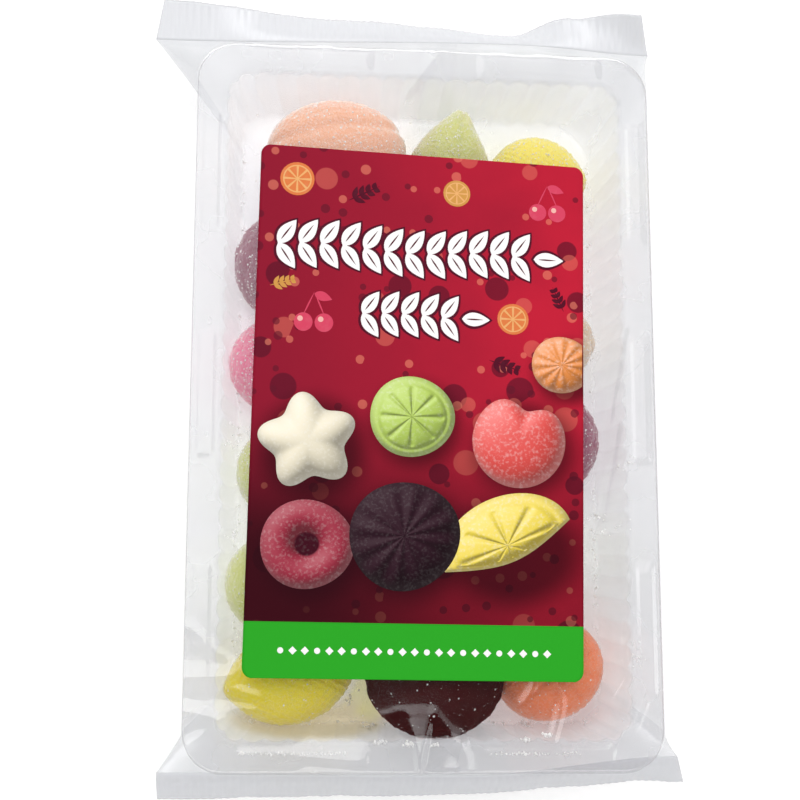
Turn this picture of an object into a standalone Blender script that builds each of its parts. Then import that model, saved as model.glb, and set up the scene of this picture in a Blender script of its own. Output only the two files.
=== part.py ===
"""A clear flow-wrap pack of moulded fruit jellies, lying on its tray with the label up.

The bag is one closed solid: the film drawn over the rim and the base of a shallow tray,
pulled in at both ends to a crimped fin seal. The printed label is a thin sheet on top.
The pack is long in Y and wide in X, and it rests on the flat ring of its tray's base.
"""
import math

import bmesh
import bpy
from mathutils import Matrix, Vector

MM = 0.001

# The tray that gives the bag its form
RIM_LENGTH = 212 * MM
RIM_WIDTH = 135 * MM
RIM_CORNER = 12 * MM
RIM_HEIGHT = 26 * MM
BASE_LENGTH = 186 * MM
BASE_WIDTH = 108 * MM
BASE_CORNER = 14 * MM
SIDE_SAG = 1.4 * MM

# The fin seals. Each has the line where it leaves the bag, as distances from the tray's middle,
# and its droop in degrees, both given at fractions of the fin's width from left to right
FIN_WIDTH = 151 * MM
FIN_LENGTH = 12.5 * MM
FIN_HEIGHT = 16.5 * MM
FIN_THICKNESS = 0.45 * MM
FIN_ROOT = 2 * MM
CRIMP_PITCH = 2.2 * MM
CRIMP_DEPTH = 0.4 * MM
REAR_FIN = {"side": 1, "shift": -5 * MM,
            "line": ((0.0, 109.5 * MM), (0.74, 112.5 * MM), (1.0, 110.5 * MM)),
            "droop": ((0.0, -4), (0.35, 38), (0.74, 62), (0.86, 20), (1.0, -28))}
FRONT_FIN = {"side": -1, "shift": 1.2 * MM,
             "line": ((0.0, 105.5 * MM), (0.6, 106.5 * MM), (1.0, 101.5 * MM)),
             "droop": ((0.0, 58), (0.4, 66), (0.68, 72), (0.85, 66), (1.0, 60))}

# The film between the tray and a fin, with the soft folds that run into the seal
THROAT = 1.9 * MM
SEAL_BULGE = 0.25 * MM
FOLD_DEPTH = 0.9 * MM
FOLD_COUNT = 7

# The raised beads of the tray's flange, which press up into the film
FLANGE = 9.2 * MM
BEAD_LENGTH = 36 * MM
BEAD_WIDTH = 4.6 * MM
BEAD_HEIGHT = 1 * MM
SIDE_BEAD_PITCH = 66 * MM
END_BEAD_PITCH = 69 * MM

# The recess under the base, and the bag's long back seam that lies in it
RECESS_LENGTH = 140 * MM
RECESS_WIDTH = 64 * MM
RECESS_DEPTH = 0.9 * MM
RECESS_CORNER = 10 * MM
SEAM_WIDTH = 12 * MM
SEAM_THICKNESS = 0.4 * MM
SEAM_OFFSET = 5 * MM
SEAM_END_GAP = 2 * MM

# The label, stuck on a little askew
LABEL_WIDTH = 95.6 * MM
LABEL_LENGTH = 151.8 * MM
LABEL_CORNER = 3 * MM
LABEL_THICKNESS = 0.25 * MM
LABEL_CENTRE = (-2.1 * MM, -4.1 * MM)
LABEL_TURN = math.radians(-1.1)
LABEL_GAP = 0.3 * MM

# The tray's middle, seen from the middle of the whole bag, whose fins reach out unevenly
TRAY_SHIFT = Vector((1.9 * MM, -4.93 * MM, 0))

# How finely the film is divided, and how far joined pieces run into each other
SPAN_STEPS = 42
SIDE_STEPS = 4
THROAT_STEPS = 5
FIN_STEPS = 3
CORNER_STEPS = 5
EMBED = 0.2 * MM
WELD = 0.001 * MM
SHARP_ANGLE = math.radians(35)


def clear_scene():
    for old in list(bpy.data.objects):
        bpy.data.objects.remove(old, do_unlink=True)


def new_collection(name):
    collection = bpy.data.collections.new(name)
    bpy.context.scene.collection.children.link(collection)
    return collection


def plain_material(name, colour, roughness):
    material = bpy.data.materials.new(name)
    material.use_nodes = True
    shader = material.node_tree.nodes["Principled BSDF"]
    shader.inputs["Base Color"].default_value = (*colour, 1)
    shader.inputs["Roughness"].default_value = roughness
    shader.inputs["Metallic"].default_value = 0
    return material


def add_object(name, bm, collection):
    mesh = bpy.data.meshes.new(name)
    bm.to_mesh(mesh)
    bm.free()
    obj = bpy.data.objects.new(name, mesh)
    collection.objects.link(obj)
    return obj


def ease(fraction):
    return fraction * fraction * (3 - 2 * fraction)


def follow(stops, fraction):
    """The value at a fraction, easing from each (fraction, value) stop to the next."""
    for (start, low), (end, high) in zip(stops, stops[1:]):
        if fraction <= end:
            return low + (high - low) * ease((fraction - start) / (end - start))
    return stops[-1][1]


# The bag's film over the tray

def rounded_end(length, width, corner, fraction):
    """A point on a tray outline's rounded end, from its left side round to its right side."""
    quarter = corner * math.pi / 2
    straight = width - 2 * corner
    travel = fraction * (2 * quarter + straight)
    if travel < quarter:
        turn = travel / corner
        return -straight / 2 - corner * math.cos(turn), length / 2 - corner + corner * math.sin(turn)
    if travel <= quarter + straight:
        return travel - quarter - straight / 2, length / 2
    turn = (travel - quarter - straight) / corner
    return straight / 2 + corner * math.sin(turn), length / 2 - corner + corner * math.cos(turn)


def side_points(start, end, sag):
    """Points between two edges of the bag, where the slack film is drawn in."""
    inward = Vector((-math.copysign(1, start.x) * sag, 0, 0))
    points = []
    for step in range(1, SIDE_STEPS):
        fraction = step / SIDE_STEPS
        points.append(start.lerp(end, fraction) + inward * math.sin(math.pi * fraction))
    return points


def section(top_edge, base_edge, sag):
    """A ring round the bag: over the top, down the right, back under the base, up the left."""
    top = [Vector(top_edge(step / SPAN_STEPS)) for step in range(SPAN_STEPS + 1)]
    base = [Vector(base_edge(step / SPAN_STEPS)) for step in range(SPAN_STEPS + 1)]
    right = side_points(top[-1], base[-1], sag)
    left = side_points(base[0], top[0], sag)
    return top + right + base[::-1] + left


def tray_section(side):
    """The ring where the film bends over the end of the rim and under the end of the base."""
    def rim(fraction):
        x, y = rounded_end(RIM_LENGTH, RIM_WIDTH, RIM_CORNER, fraction)
        return x, side * y, RIM_HEIGHT

    def base(fraction):
        x, y = rounded_end(BASE_LENGTH, BASE_WIDTH, BASE_CORNER, fraction)
        return x, side * y, 0
    return section(rim, base, SIDE_SAG)


def seal_section(fin):
    """The flat ring where the film's two sides come together at a fin."""
    def lip(height):
        def edge(fraction):
            x = fin["shift"] + FIN_WIDTH * (fraction - 0.5)
            return x, fin["side"] * follow(fin["line"], fraction), FIN_HEIGHT + height
        return edge
    return section(lip(THROAT / 2), lip(-THROAT / 2), -SEAL_BULGE)


def folded(ring, closed_up):
    """The same ring with soft folds, deepest halfway from the tray to the seal."""
    depth = FOLD_DEPTH * math.sin(math.pi * closed_up)
    half = FIN_WIDTH / 2
    points = []
    for point in ring:
        wave = math.cos(math.pi * FOLD_COUNT * point.x / half)
        fade = 1 - min(1, abs(point.x) / half) ** 4
        points.append(point + Vector((0, 0, depth * wave * fade)))
    return points


def throat_sections(fin, tray):
    """The rings from the tray to the seal, the seal's own last."""
    seal = seal_section(fin)
    rings = []
    for step in range(1, THROAT_STEPS + 1):
        closed_up = step / THROAT_STEPS
        ring = [wide.lerp(narrow, closed_up) for wide, narrow in zip(tray, seal)]
        rings.append(folded(ring, closed_up))
    return rings


def close_end(bm, ring):
    """The narrow end face of the bag, as a strip from its top edge to its base edge."""
    base_start = SPAN_STEPS + SIDE_STEPS
    base_end = base_start + SPAN_STEPS
    for index in range(SPAN_STEPS):
        below = base_end - index
        bm.faces.new((ring[index], ring[index + 1], ring[below - 1], ring[below]))
    bm.faces.new(ring[SPAN_STEPS:base_start + 1])
    bm.faces.new(ring[base_end:] + ring[:1])


def build_bag_body(collection):
    rear_tray = tray_section(REAR_FIN["side"])
    front_tray = tray_section(FRONT_FIN["side"])
    sections = throat_sections(REAR_FIN, rear_tray)[::-1] + [rear_tray, front_tray]
    sections += throat_sections(FRONT_FIN, front_tray)

    bm = bmesh.new()
    rings = [[bm.verts.new(point) for point in ring] for ring in sections]
    for ring, following in zip(rings, rings[1:]):
        for index, vert in enumerate(ring):
            after = (index + 1) % len(ring)
            bm.faces.new((vert, following[index], following[after], ring[after]))
    close_end(bm, rings[0])
    close_end(bm, rings[-1])
    bmesh.ops.recalc_face_normals(bm, faces=bm.faces)
    return add_object("film_pack", bm, collection)


# The crimped fin seals

def fin_point(fin, across, outward, crest):
    """A point of a fin that bends down soon after it leaves the bag, lifted on every other rib."""
    droop = math.radians(follow(fin["droop"], across))
    lift = CRIMP_DEPTH / 2 if crest else -CRIMP_DEPTH / 2
    x = fin["shift"] + (FIN_WIDTH - 2 * EMBED) * (across - 0.5)
    line = follow(fin["line"], across)
    if outward < 0:
        return x, fin["side"] * (line - FIN_ROOT), FIN_HEIGHT + lift
    reach, height = 0, FIN_HEIGHT
    for step in range(outward):
        bend = droop * min(1, (step + 1) / 2)
        reach += FIN_LENGTH / FIN_STEPS * math.cos(bend)
        height -= FIN_LENGTH / FIN_STEPS * math.sin(bend)
    tilt = droop * outward / FIN_STEPS
    reach += lift * math.sin(tilt)
    height += lift * math.cos(tilt)
    return x, fin["side"] * (line + reach), height


def build_fin(name, fin, collection):
    ribs = 2 * round(FIN_WIDTH / CRIMP_PITCH)
    rows = FIN_STEPS + 1
    bm = bmesh.new()
    grid = bmesh.ops.create_grid(bm, x_segments=ribs, y_segments=rows, size=1)
    for vert in grid["verts"]:
        across = (vert.co.x + 1) / 2
        outward = round((vert.co.y + 1) / 2 * rows) - 1
        vert.co = fin_point(fin, across, outward, round(across * ribs) % 2)
    obj = add_object(name, bm, collection)
    sheet = obj.modifiers.new("film_thickness", "SOLIDIFY")
    sheet.thickness = FIN_THICKNESS
    sheet.offset = 0
    return obj


# The relief of the tray's flange and base

def rounded_box(name, size, centre, edge, collection):
    bm = bmesh.new()
    bmesh.ops.create_cube(bm, size=1, matrix=Matrix.Diagonal((*size, 1)))
    bmesh.ops.bevel(bm, geom=bm.edges, offset=edge, segments=1, affect="EDGES", profile=0.5)
    obj = add_object(name, bm, collection)
    obj.location = centre
    return obj


def build_beads(collection):
    """Raised bars along the flange: three down each long side and two across each end."""
    side_x = (RIM_WIDTH - FLANGE) / 2
    end_y = (RIM_LENGTH - FLANGE) / 2
    lengthwise = (BEAD_WIDTH, BEAD_LENGTH, 2 * BEAD_HEIGHT)
    crosswise = (BEAD_LENGTH, BEAD_WIDTH, 2 * BEAD_HEIGHT)
    edge = BEAD_HEIGHT / 2
    for side in (-1, 1):
        for place in (-1, 0, 1):
            centre = (side * side_x, place * SIDE_BEAD_PITCH, RIM_HEIGHT)
            rounded_box("side_bead", lengthwise, centre, edge, collection)
        for place in (-0.5, 0.5):
            centre = (place * END_BEAD_PITCH, side * end_y, RIM_HEIGHT)
            rounded_box("end_bead", crosswise, centre, edge, collection)


def rounded_outline(length, width, corner):
    points = []
    for quarter in range(4):
        centre_x = (width / 2 - corner) * (1 if quarter in (0, 3) else -1)
        centre_y = (length / 2 - corner) * (1 if quarter in (0, 1) else -1)
        for step in range(CORNER_STEPS + 1):
            angle = math.pi / 2 * (quarter + step / CORNER_STEPS)
            points.append((centre_x + corner * math.cos(angle), centre_y + corner * math.sin(angle)))
    return points


def flat_sheet(name, outline, thickness, collection):
    """A flat outline with a thickness, drawn as a filled curve and turned into a mesh."""
    curve = bpy.data.curves.new(name, "CURVE")
    curve.dimensions = "2D"
    curve.fill_mode = "BOTH"
    curve.extrude = thickness / 2
    spline = curve.splines.new("POLY")
    spline.points.add(len(outline) - 1)
    for point, (x, y) in zip(spline.points, outline):
        point.co = (x, y, 0, 1)
    spline.use_cyclic_u = True
    drawn = bpy.data.objects.new(name, curve)
    collection.objects.link(drawn)
    depsgraph = bpy.context.evaluated_depsgraph_get()
    mesh = bpy.data.meshes.new_from_object(drawn.evaluated_get(depsgraph))
    bpy.data.objects.remove(drawn)

    bm = bmesh.new()
    bm.from_mesh(mesh)
    bpy.data.meshes.remove(mesh)
    bmesh.ops.remove_doubles(bm, verts=bm.verts, dist=WELD)
    return add_object(name, bm, collection)


def boolean(obj, operation, tools):
    """One exact Boolean with every object of the tools collection, which it then empties."""
    modifier = obj.modifiers.new(operation.lower(), "BOOLEAN")
    modifier.operand_type = "COLLECTION"
    modifier.collection = tools
    modifier.operation = operation
    depsgraph = bpy.context.evaluated_depsgraph_get()
    result = bpy.data.meshes.new_from_object(obj.evaluated_get(depsgraph))
    obj.modifiers.clear()
    obj.data = result
    for tool in list(tools.objects):
        bpy.data.objects.remove(tool)


def build_bag(pack, tools):
    bag = build_bag_body(pack)
    build_fin("rear_fin", REAR_FIN, tools)
    build_fin("front_fin", FRONT_FIN, tools)
    build_beads(tools)
    boolean(bag, "UNION", tools)

    recess_outline = rounded_outline(RECESS_LENGTH, RECESS_WIDTH, RECESS_CORNER)
    recess = flat_sheet("recess", recess_outline, 2 * RECESS_DEPTH, tools)
    recess.hide_render = True
    recess.display_type = "WIRE"
    boolean(bag, "DIFFERENCE", tools)

    seam_outline = rounded_outline(RECESS_LENGTH - 2 * SEAM_END_GAP, SEAM_WIDTH, SEAM_THICKNESS)
    seam = flat_sheet("back_seam", seam_outline, SEAM_THICKNESS + EMBED, tools)
    seam.location = (SEAM_OFFSET, 0, RECESS_DEPTH - (SEAM_THICKNESS - EMBED) / 2)
    boolean(bag, "UNION", tools)

    bag.location = TRAY_SHIFT
    bag.data.shade_smooth()
    bag.data.set_sharp_from_angle(angle=SHARP_ANGLE)
    bag.data.materials.clear()
    bag.data.materials.append(plain_material("clear_film", (0.86, 0.87, 0.89), 0.18))


def build_label(pack):
    outline = rounded_outline(LABEL_LENGTH, LABEL_WIDTH, LABEL_CORNER)
    label = flat_sheet("label", outline, LABEL_THICKNESS, pack)
    height = RIM_HEIGHT + LABEL_GAP + LABEL_THICKNESS / 2
    label.location = TRAY_SHIFT + Vector((*LABEL_CENTRE, height))
    label.rotation_euler.z = LABEL_TURN
    label.data.materials.append(plain_material("printed_paper", (0.45, 0.03, 0.07), 0.35))


def main():
    clear_scene()
    pack = new_collection("jelly_pack")
    tools = new_collection("tools")
    build_bag(pack, tools)
    build_label(pack)


main()
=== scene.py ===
# %% [markdown]
# A clear pack of moulded fruit jellies. The real thing is a shallow, milky tray of sugared jellies
# in a thin, glossy bag with a crimped seal at each end and a printed label on top. Each step below
# first says what the real piece is and how it could be made, and then makes it around the solid
# model, the frame, which settles where everything is and how big it is.

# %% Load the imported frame
import math

import bmesh
import bpy
import numpy as np
from mathutils import Matrix


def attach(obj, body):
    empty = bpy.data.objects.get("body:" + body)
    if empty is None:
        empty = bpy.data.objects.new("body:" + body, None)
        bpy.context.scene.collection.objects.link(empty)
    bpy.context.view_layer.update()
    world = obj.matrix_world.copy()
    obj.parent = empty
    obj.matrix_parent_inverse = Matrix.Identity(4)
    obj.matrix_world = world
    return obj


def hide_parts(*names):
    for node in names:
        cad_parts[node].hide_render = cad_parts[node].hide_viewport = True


MM = 0.001
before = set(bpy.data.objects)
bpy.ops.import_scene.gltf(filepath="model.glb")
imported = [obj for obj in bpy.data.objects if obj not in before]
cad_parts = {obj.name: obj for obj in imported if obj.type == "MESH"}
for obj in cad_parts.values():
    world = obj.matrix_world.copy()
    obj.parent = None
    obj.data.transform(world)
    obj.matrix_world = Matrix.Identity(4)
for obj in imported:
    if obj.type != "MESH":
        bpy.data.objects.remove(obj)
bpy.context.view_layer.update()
print("nodes of the frame:", sorted(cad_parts))

# %% [markdown]
# The shapes below are worked out in millimetres from the middle of the tray, because a tray is
# easiest to think about that way. The frame says where that middle is: the top of the closed bag
# is flat where it lies on the tray's rim, and flat again underneath, so the points at those two
# heights give the size of the rim and of the base.

# %% Read the tray's sizes from the frame
LABEL_GAP = 0.3
LEVEL = 0.02


def node_points(name):
    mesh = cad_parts[name].data
    points = np.empty(len(mesh.vertices) * 3)
    mesh.vertices.foreach_get("co", points)
    return points.reshape(-1, 3) / MM


def box_at(points, height):
    level = points[np.abs(points[:, 2] - height) < LEVEL]
    return level.min(axis=0), level.max(axis=0)


bag_points = node_points("film_pack")
label_points = node_points("label")
rim_height = label_points[:, 2].min() - LABEL_GAP
rim_low, rim_high = box_at(bag_points, rim_height)
base_low, base_high = box_at(bag_points, 0)
rim_width, rim_length = (rim_high - rim_low)[:2]
base_width, base_length = (base_high - base_low)[:2]
tray_middle = (rim_low + rim_high) / 2 * (1, 1, 0)
print("rim %.1f x %.1f, base %.1f x %.1f, rim height %.1f mm"
      % (rim_width, rim_length, base_width, base_length, rim_height))

# %% [markdown]
# Every piece here is a mesh made from arrays of points, which is quick in NumPy and keeps each
# shape a readable formula. One helper turns points and faces into an object, and one lists the
# faces of a grid, open or closed into a tube. Most forms here are sums of soft steps and bells.

# %% Mesh helpers
pieces = []


def add_piece(name, points, faces, materials, smooth=True):
    """A mesh object from points in millimetres from the tray's middle."""
    mesh = bpy.data.meshes.new(name)
    mesh.from_pydata(((np.asarray(points) + tray_middle) * MM).tolist(), [],
                     [tuple(face) for face in faces])
    mesh.validate()
    if smooth:
        mesh.shade_smooth()
    for material in materials:
        mesh.materials.append(material)
    obj = bpy.data.objects.new(name, mesh)
    bpy.context.scene.collection.objects.link(obj)
    pieces.append(obj)
    return obj


def grid_faces(rows, columns, closed=False):
    """Faces between neighbouring points of a grid stored row by row."""
    index = np.arange(rows * columns).reshape(rows, columns)
    if closed:
        index = np.concatenate([index, index[:, :1]], axis=1)
    corners = (index[:-1, :-1], index[:-1, 1:], index[1:, 1:], index[1:, :-1])
    return np.stack(corners, axis=-1).reshape(-1, 4)


def soft_step(value, low, high):
    """0 below low, 1 above high, and a smooth rise between."""
    share = np.clip((value - low) / (high - low), 0, 1)
    return share * share * (3 - 2 * share)


def bell(distance, width):
    """1 at no distance, and falling softly to 0 beyond the width."""
    return np.exp(-(distance / width) ** 2)


# %% [markdown]
# Film, tray and sweets are all a little uneven. Adding a few sine waves that run in random
# directions gives a gentle, repeatable unevenness without any texture, and it works on whole
# arrays at once. The random numbers come from a fixed seed, so each run gives the same shape.

# %% A repeatable unevenness
def ripples(x, y, wavelength, seed, waves=7):
    """Smooth unevenness between about -1 and 1 with roughly the given wavelength."""
    random = np.random.default_rng(seed)
    total = np.zeros(np.broadcast(x, y).shape)
    for _ in range(waves):
        heading, start = random.uniform(0, 2 * math.pi, 2)
        pace = 2 * math.pi / (wavelength * random.uniform(0.7, 1.5))
        total += np.sin(pace * (x * math.cos(heading) + y * math.sin(heading)) + start)
    return total / math.sqrt(waves) / 1.4


# %% [markdown]
# Materials are node graphs. A small helper makes a material with its Principled shader, and
# another adds a node with its settings in one line, so that each material reads as a recipe. The
# rest are the few kinds of node, and the empty group, that are needed again and again.

# %% Material helpers
def new_material(name, colour, roughness, **settings):
    """A material with a Principled shader, whose other sockets are set by name."""
    material = bpy.data.materials.new(name)
    material.use_nodes = True
    shader = material.node_tree.nodes["Principled BSDF"]
    shader.inputs["Base Color"].default_value = (*colour, 1)
    shader.inputs["Roughness"].default_value = roughness
    for socket, value in settings.items():
        shader.inputs[socket.replace("_", " ")].default_value = value
    return material, shader


def add_node(tree, kind, inputs=(), **settings):
    """A node with plain values or links on its inputs, given as pairs of socket and value."""
    node = tree.nodes.new(kind)
    for name, value in settings.items():
        setattr(node, name, value)
    for socket, value in inputs:
        if isinstance(value, bpy.types.NodeSocket):
            tree.links.new(value, node.inputs[socket])
        else:
            node.inputs[socket].default_value = value
    return node


def math_node(tree, operation, *values, clamp=False):
    """The result of a math node, from plain values or links."""
    node = add_node(tree, "ShaderNodeMath", enumerate(values), operation=operation,
                    use_clamp=clamp)
    return node.outputs[0]


def map_range(tree, value, low, high, to_low=0.0, to_high=1.0, **settings):
    """A value carried over from one range to another."""
    node = add_node(tree, "ShaderNodeMapRange",
                    [("Value", value), ("From Min", low), ("From Max", high),
                     ("To Min", to_low), ("To Max", to_high)], **settings)
    return node.outputs[0]


def mix_colour(tree, share, first, second):
    mix = add_node(tree, "ShaderNodeMix", [("Factor", share), (6, first), (7, second)],
                   data_type="RGBA")
    return mix.outputs[2]


def mix_shader(tree, share, first, second):
    mix = add_node(tree, "ShaderNodeMixShader", [(0, share), (1, first), (2, second)])
    return mix.outputs[0]


def show(tree, surface):
    output = tree.nodes["Material Output"]
    tree.links.new(surface, output.inputs["Surface"])


def new_group(name, inputs, outputs):
    """An empty shader group, its sockets given as pairs of name and type, and its two ends."""
    group = bpy.data.node_groups.new(name, "ShaderNodeTree")
    for way, sockets in (("INPUT", inputs), ("OUTPUT", outputs)):
        for socket, kind in sockets:
            group.interface.new_socket(socket, in_out=way, socket_type="NodeSocket" + kind)
    source = group.nodes.new("NodeGroupInput").outputs
    return group, source, group.nodes.new("NodeGroupOutput").inputs


# %% [markdown]
# Nothing here is evenly clear or evenly coloured: the film is cloudier where it was handled, the
# tray has drawn marks, and print has a slight mottle. One shader group gives all of them a soft
# mask between two limits, and each material places it with its own scale and contrast.

# %% Shader group for soft mottling
def make_mottle_group():
    group, source, target = new_group(
        "mottle", [("Scale", "Float"), ("Low", "Float"), ("High", "Float")], [("Mask", "Float")])
    place = add_node(group, "ShaderNodeTexCoord").outputs["Object"]
    noise = add_node(group, "ShaderNodeTexNoise",
                     [("Vector", place), ("Scale", source["Scale"]), ("Detail", 3)])
    mask = map_range(group, noise.outputs["Fac"], 0.3, 0.7, source["Low"], source["High"])
    group.links.new(mask, target["Mask"])
    return group


mottle_group = make_mottle_group()


def mottle(tree, scale, low, high):
    """A soft mask over the surface between two values."""
    node = add_node(tree, "ShaderNodeGroup", node_tree=mottle_group)
    node.inputs["Scale"].default_value = scale
    node.inputs["Low"].default_value = low
    node.inputs["High"].default_value = high
    return node.outputs["Mask"]


# %% [markdown]
# The bag is the film's outer form: drawn over the rim, in under the base, and together at both
# seals. It is a loft, a stack of rings that change their outline along the pack, because no ready
# made shape has such different ends. The rings at the tray follow its rounded outline. They are
# lofted to flat rings at the seals, and the same fold and bead shapes then press into the film.

# %% Outlines of the bag
RIM_CORNER = 12
BASE_CORNER = 14
SPAN = 190
SIDE = 8
SIDE_SAG = 1.4
FIN_HEIGHT = 16.5
FILM_LIFT = 0.15
REAR_FIN = {"side": 1, "ends": (-80.5, 70.5), "narrow": (2.2, -3),
            "line": ((0.0, 109.5), (0.74, 112.5), (1.0, 110.5)),
            "droop": ((0.0, -4), (0.35, 38), (0.74, 62), (0.86, 20), (1.0, -28))}
FRONT_FIN = {"side": -1, "ends": (-74.3, 73.2), "narrow": (0, 4.2),
             "line": ((0.0, 105.5), (0.6, 106.5), (1.0, 101.5)),
             "droop": ((0.0, 58), (0.4, 66), (0.68, 72), (0.85, 66), (1.0, 60))}


def follow(stops, share):
    """A value that eases from each (share, value) stop to the next."""
    result = np.full(np.shape(share), float(stops[0][1]))
    for (start, low), (end, high) in zip(stops, stops[1:]):
        result += (high - low) * soft_step(share, start, end)
    return result


def rounded_end(width, length, corner, share):
    """Points on a rounded end, from its left side round to its right side."""
    quarter = corner * math.pi / 2
    straight = width - 2 * corner
    travel = share * (2 * quarter + straight)
    first = np.clip(travel / corner, 0, math.pi / 2)
    last = np.clip((travel - quarter - straight) / corner, 0, math.pi / 2)
    x = corner * (np.sin(last) - np.cos(first)) - straight / 2
    x = x + np.clip(travel - quarter, 0, straight)
    y = length / 2 - corner + corner * (np.sin(first) + np.cos(last) - 1)
    return x, y


def bag_ring(top, base, sag):
    """Over the top from left to right, down the right side, back underneath, up the left."""
    share = (np.arange(1, SIDE) / SIDE)[:, None]
    inward = sag * np.sin(math.pi * share) * np.array([-1, 0, 0])
    right = top[-1] + (base[-1] - top[-1]) * share + inward
    left = base[0] + (top[0] - base[0]) * share - inward
    return np.concatenate([top, right, base[::-1], left])


across = np.linspace(0, 1, SPAN + 1)


def tray_ring(side):
    rim_x, rim_y = rounded_end(rim_width, rim_length, RIM_CORNER, across)
    base_x, base_y = rounded_end(base_width, base_length, BASE_CORNER, across)
    top = np.stack([rim_x, side * rim_y, np.full_like(rim_x, rim_height + FILM_LIFT)], axis=1)
    base = np.stack([base_x, side * base_y, np.full_like(rim_x, FILM_LIFT)], axis=1)
    return bag_ring(top, base, SIDE_SAG)


def seal_line(fin, share):
    left, right = fin["ends"]
    return left + (right - left) * share, fin["side"] * follow(fin["line"], share)


def seal_ring(fin, half_gap):
    x, y = seal_line(fin, across)
    top = np.stack([x, y, np.full_like(x, FIN_HEIGHT + half_gap)], axis=1)
    base = np.stack([x, y, np.full_like(x, FIN_HEIGHT - half_gap)], axis=1)
    return bag_ring(top, base, 0)


# %% [markdown]
# A film bends softly where it leaves the tray, and it gathers into the seal in small folds. The
# rings between tray and seal are blends of the two, with folds that are deepest halfway. Between
# the two tray rings the rings only slide along the pack, one for each millimetre, so that creases
# can be pressed into them afterwards.

# %% Stack the rings of the bag
THROAT_ROWS = 14
BODY_ROWS = 186
SEAL_GAP = 0.16
GATHERS = 26
GATHER_REACH = 74
GATHER_DEPTH = 0.9


def gathered(ring, closed_up, seed):
    """A ring between tray and seal with small folds that run into the seal."""
    random = np.random.default_rng(seed)
    lift = np.zeros(len(ring))
    for place, height, width in zip(random.uniform(-GATHER_REACH, GATHER_REACH, GATHERS),
                                    random.uniform(-0.9, 1.1, GATHERS),
                                    random.uniform(0.9, 3.2, GATHERS)):
        lift += height * bell(ring[:, 0] - place, width)
    folded = ring.copy()
    folded[:, 2] += lift * math.sin(math.pi * closed_up) * GATHER_DEPTH
    return folded


def throat_rings(fin, seed):
    tray = tray_ring(fin["side"])
    seal = seal_ring(fin, SEAL_GAP)
    shares = np.arange(1, THROAT_ROWS + 1) / THROAT_ROWS
    return [gathered(tray + (seal - tray) * share, share, seed) for share in shares]


rear_ring, front_ring = tray_ring(1), tray_ring(-1)
body_rings = [rear_ring + (front_ring - rear_ring) * share
              for share in np.linspace(0, 1, BODY_ROWS + 1)]
bag = np.array(throat_rings(REAR_FIN, 3)[::-1] + body_rings + throat_rings(FRONT_FIN, 4))
print("bag of", bag.shape[0], "rings with", bag.shape[1], "points each")


# %% Soften the film's bends
SOFTENING = 5


def soften(grid, times):
    """Moves each point towards its neighbours, which rounds the film over the tray's edges."""
    for _ in range(times):
        around = (np.roll(grid, 1, axis=1) + np.roll(grid, -1, axis=1)) / 2
        along = (grid[:-2] + grid[2:]) / 2
        grid = grid * 0.5 + around * 0.5
        grid[1:-1] = grid[1:-1] * 0.75 + along * 0.25
    return grid


bag = soften(bag, SOFTENING)

# %% [markdown]
# The flange of the tray has long raised beads that stiffen it: three down each side and two across
# each end. They press up into the film, and they are shared by the tray and the bag, so their
# height is one function of the place on the rim.

# %% Raised beads of the flange
FLANGE = 9.2
BEAD_LENGTH = 36
BEAD_WIDTH = 4.6
BEAD_HEIGHT = 0.5
SIDE_BEAD_PITCH = 66
END_BEAD_PITCH = 69
BEAD_EDGE = 1.5


def bead_height(x, y):
    height = np.zeros(np.broadcast(x, y).shape)
    side_x, end_y = (rim_width - FLANGE) / 2, (rim_length - FLANGE) / 2
    spots = [(side * side_x, place * SIDE_BEAD_PITCH, BEAD_WIDTH, BEAD_LENGTH)
             for side in (-1, 1) for place in (-1, 0, 1)]
    spots += [(place * END_BEAD_PITCH, side * end_y, BEAD_LENGTH, BEAD_WIDTH)
              for side in (-1, 1) for place in (-0.5, 0.5)]
    for spot_x, spot_y, width, length in spots:
        inside = np.minimum(width / 2 - np.abs(x - spot_x), length / 2 - np.abs(y - spot_y))
        height = np.maximum(height, soft_step(inside, -BEAD_EDGE / 2, BEAD_EDGE / 2))
    return BEAD_HEIGHT * height


# %% [markdown]
# A flow-wrap film is never quite tight. It stands up in creases: a small tent at the middle of the
# lower end, a fan of wide, flat wrinkles at the lower left corner, curved folds over the lower
# right jelly, slanting pulls at the upper right, and a long fold down the right side. Each crease
# is a short line with a height and a width, and the film rises along it like a soft ridge. Most
# are only a fraction of a millimetre high, because a mirror shows even the slightest slope.

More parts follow.
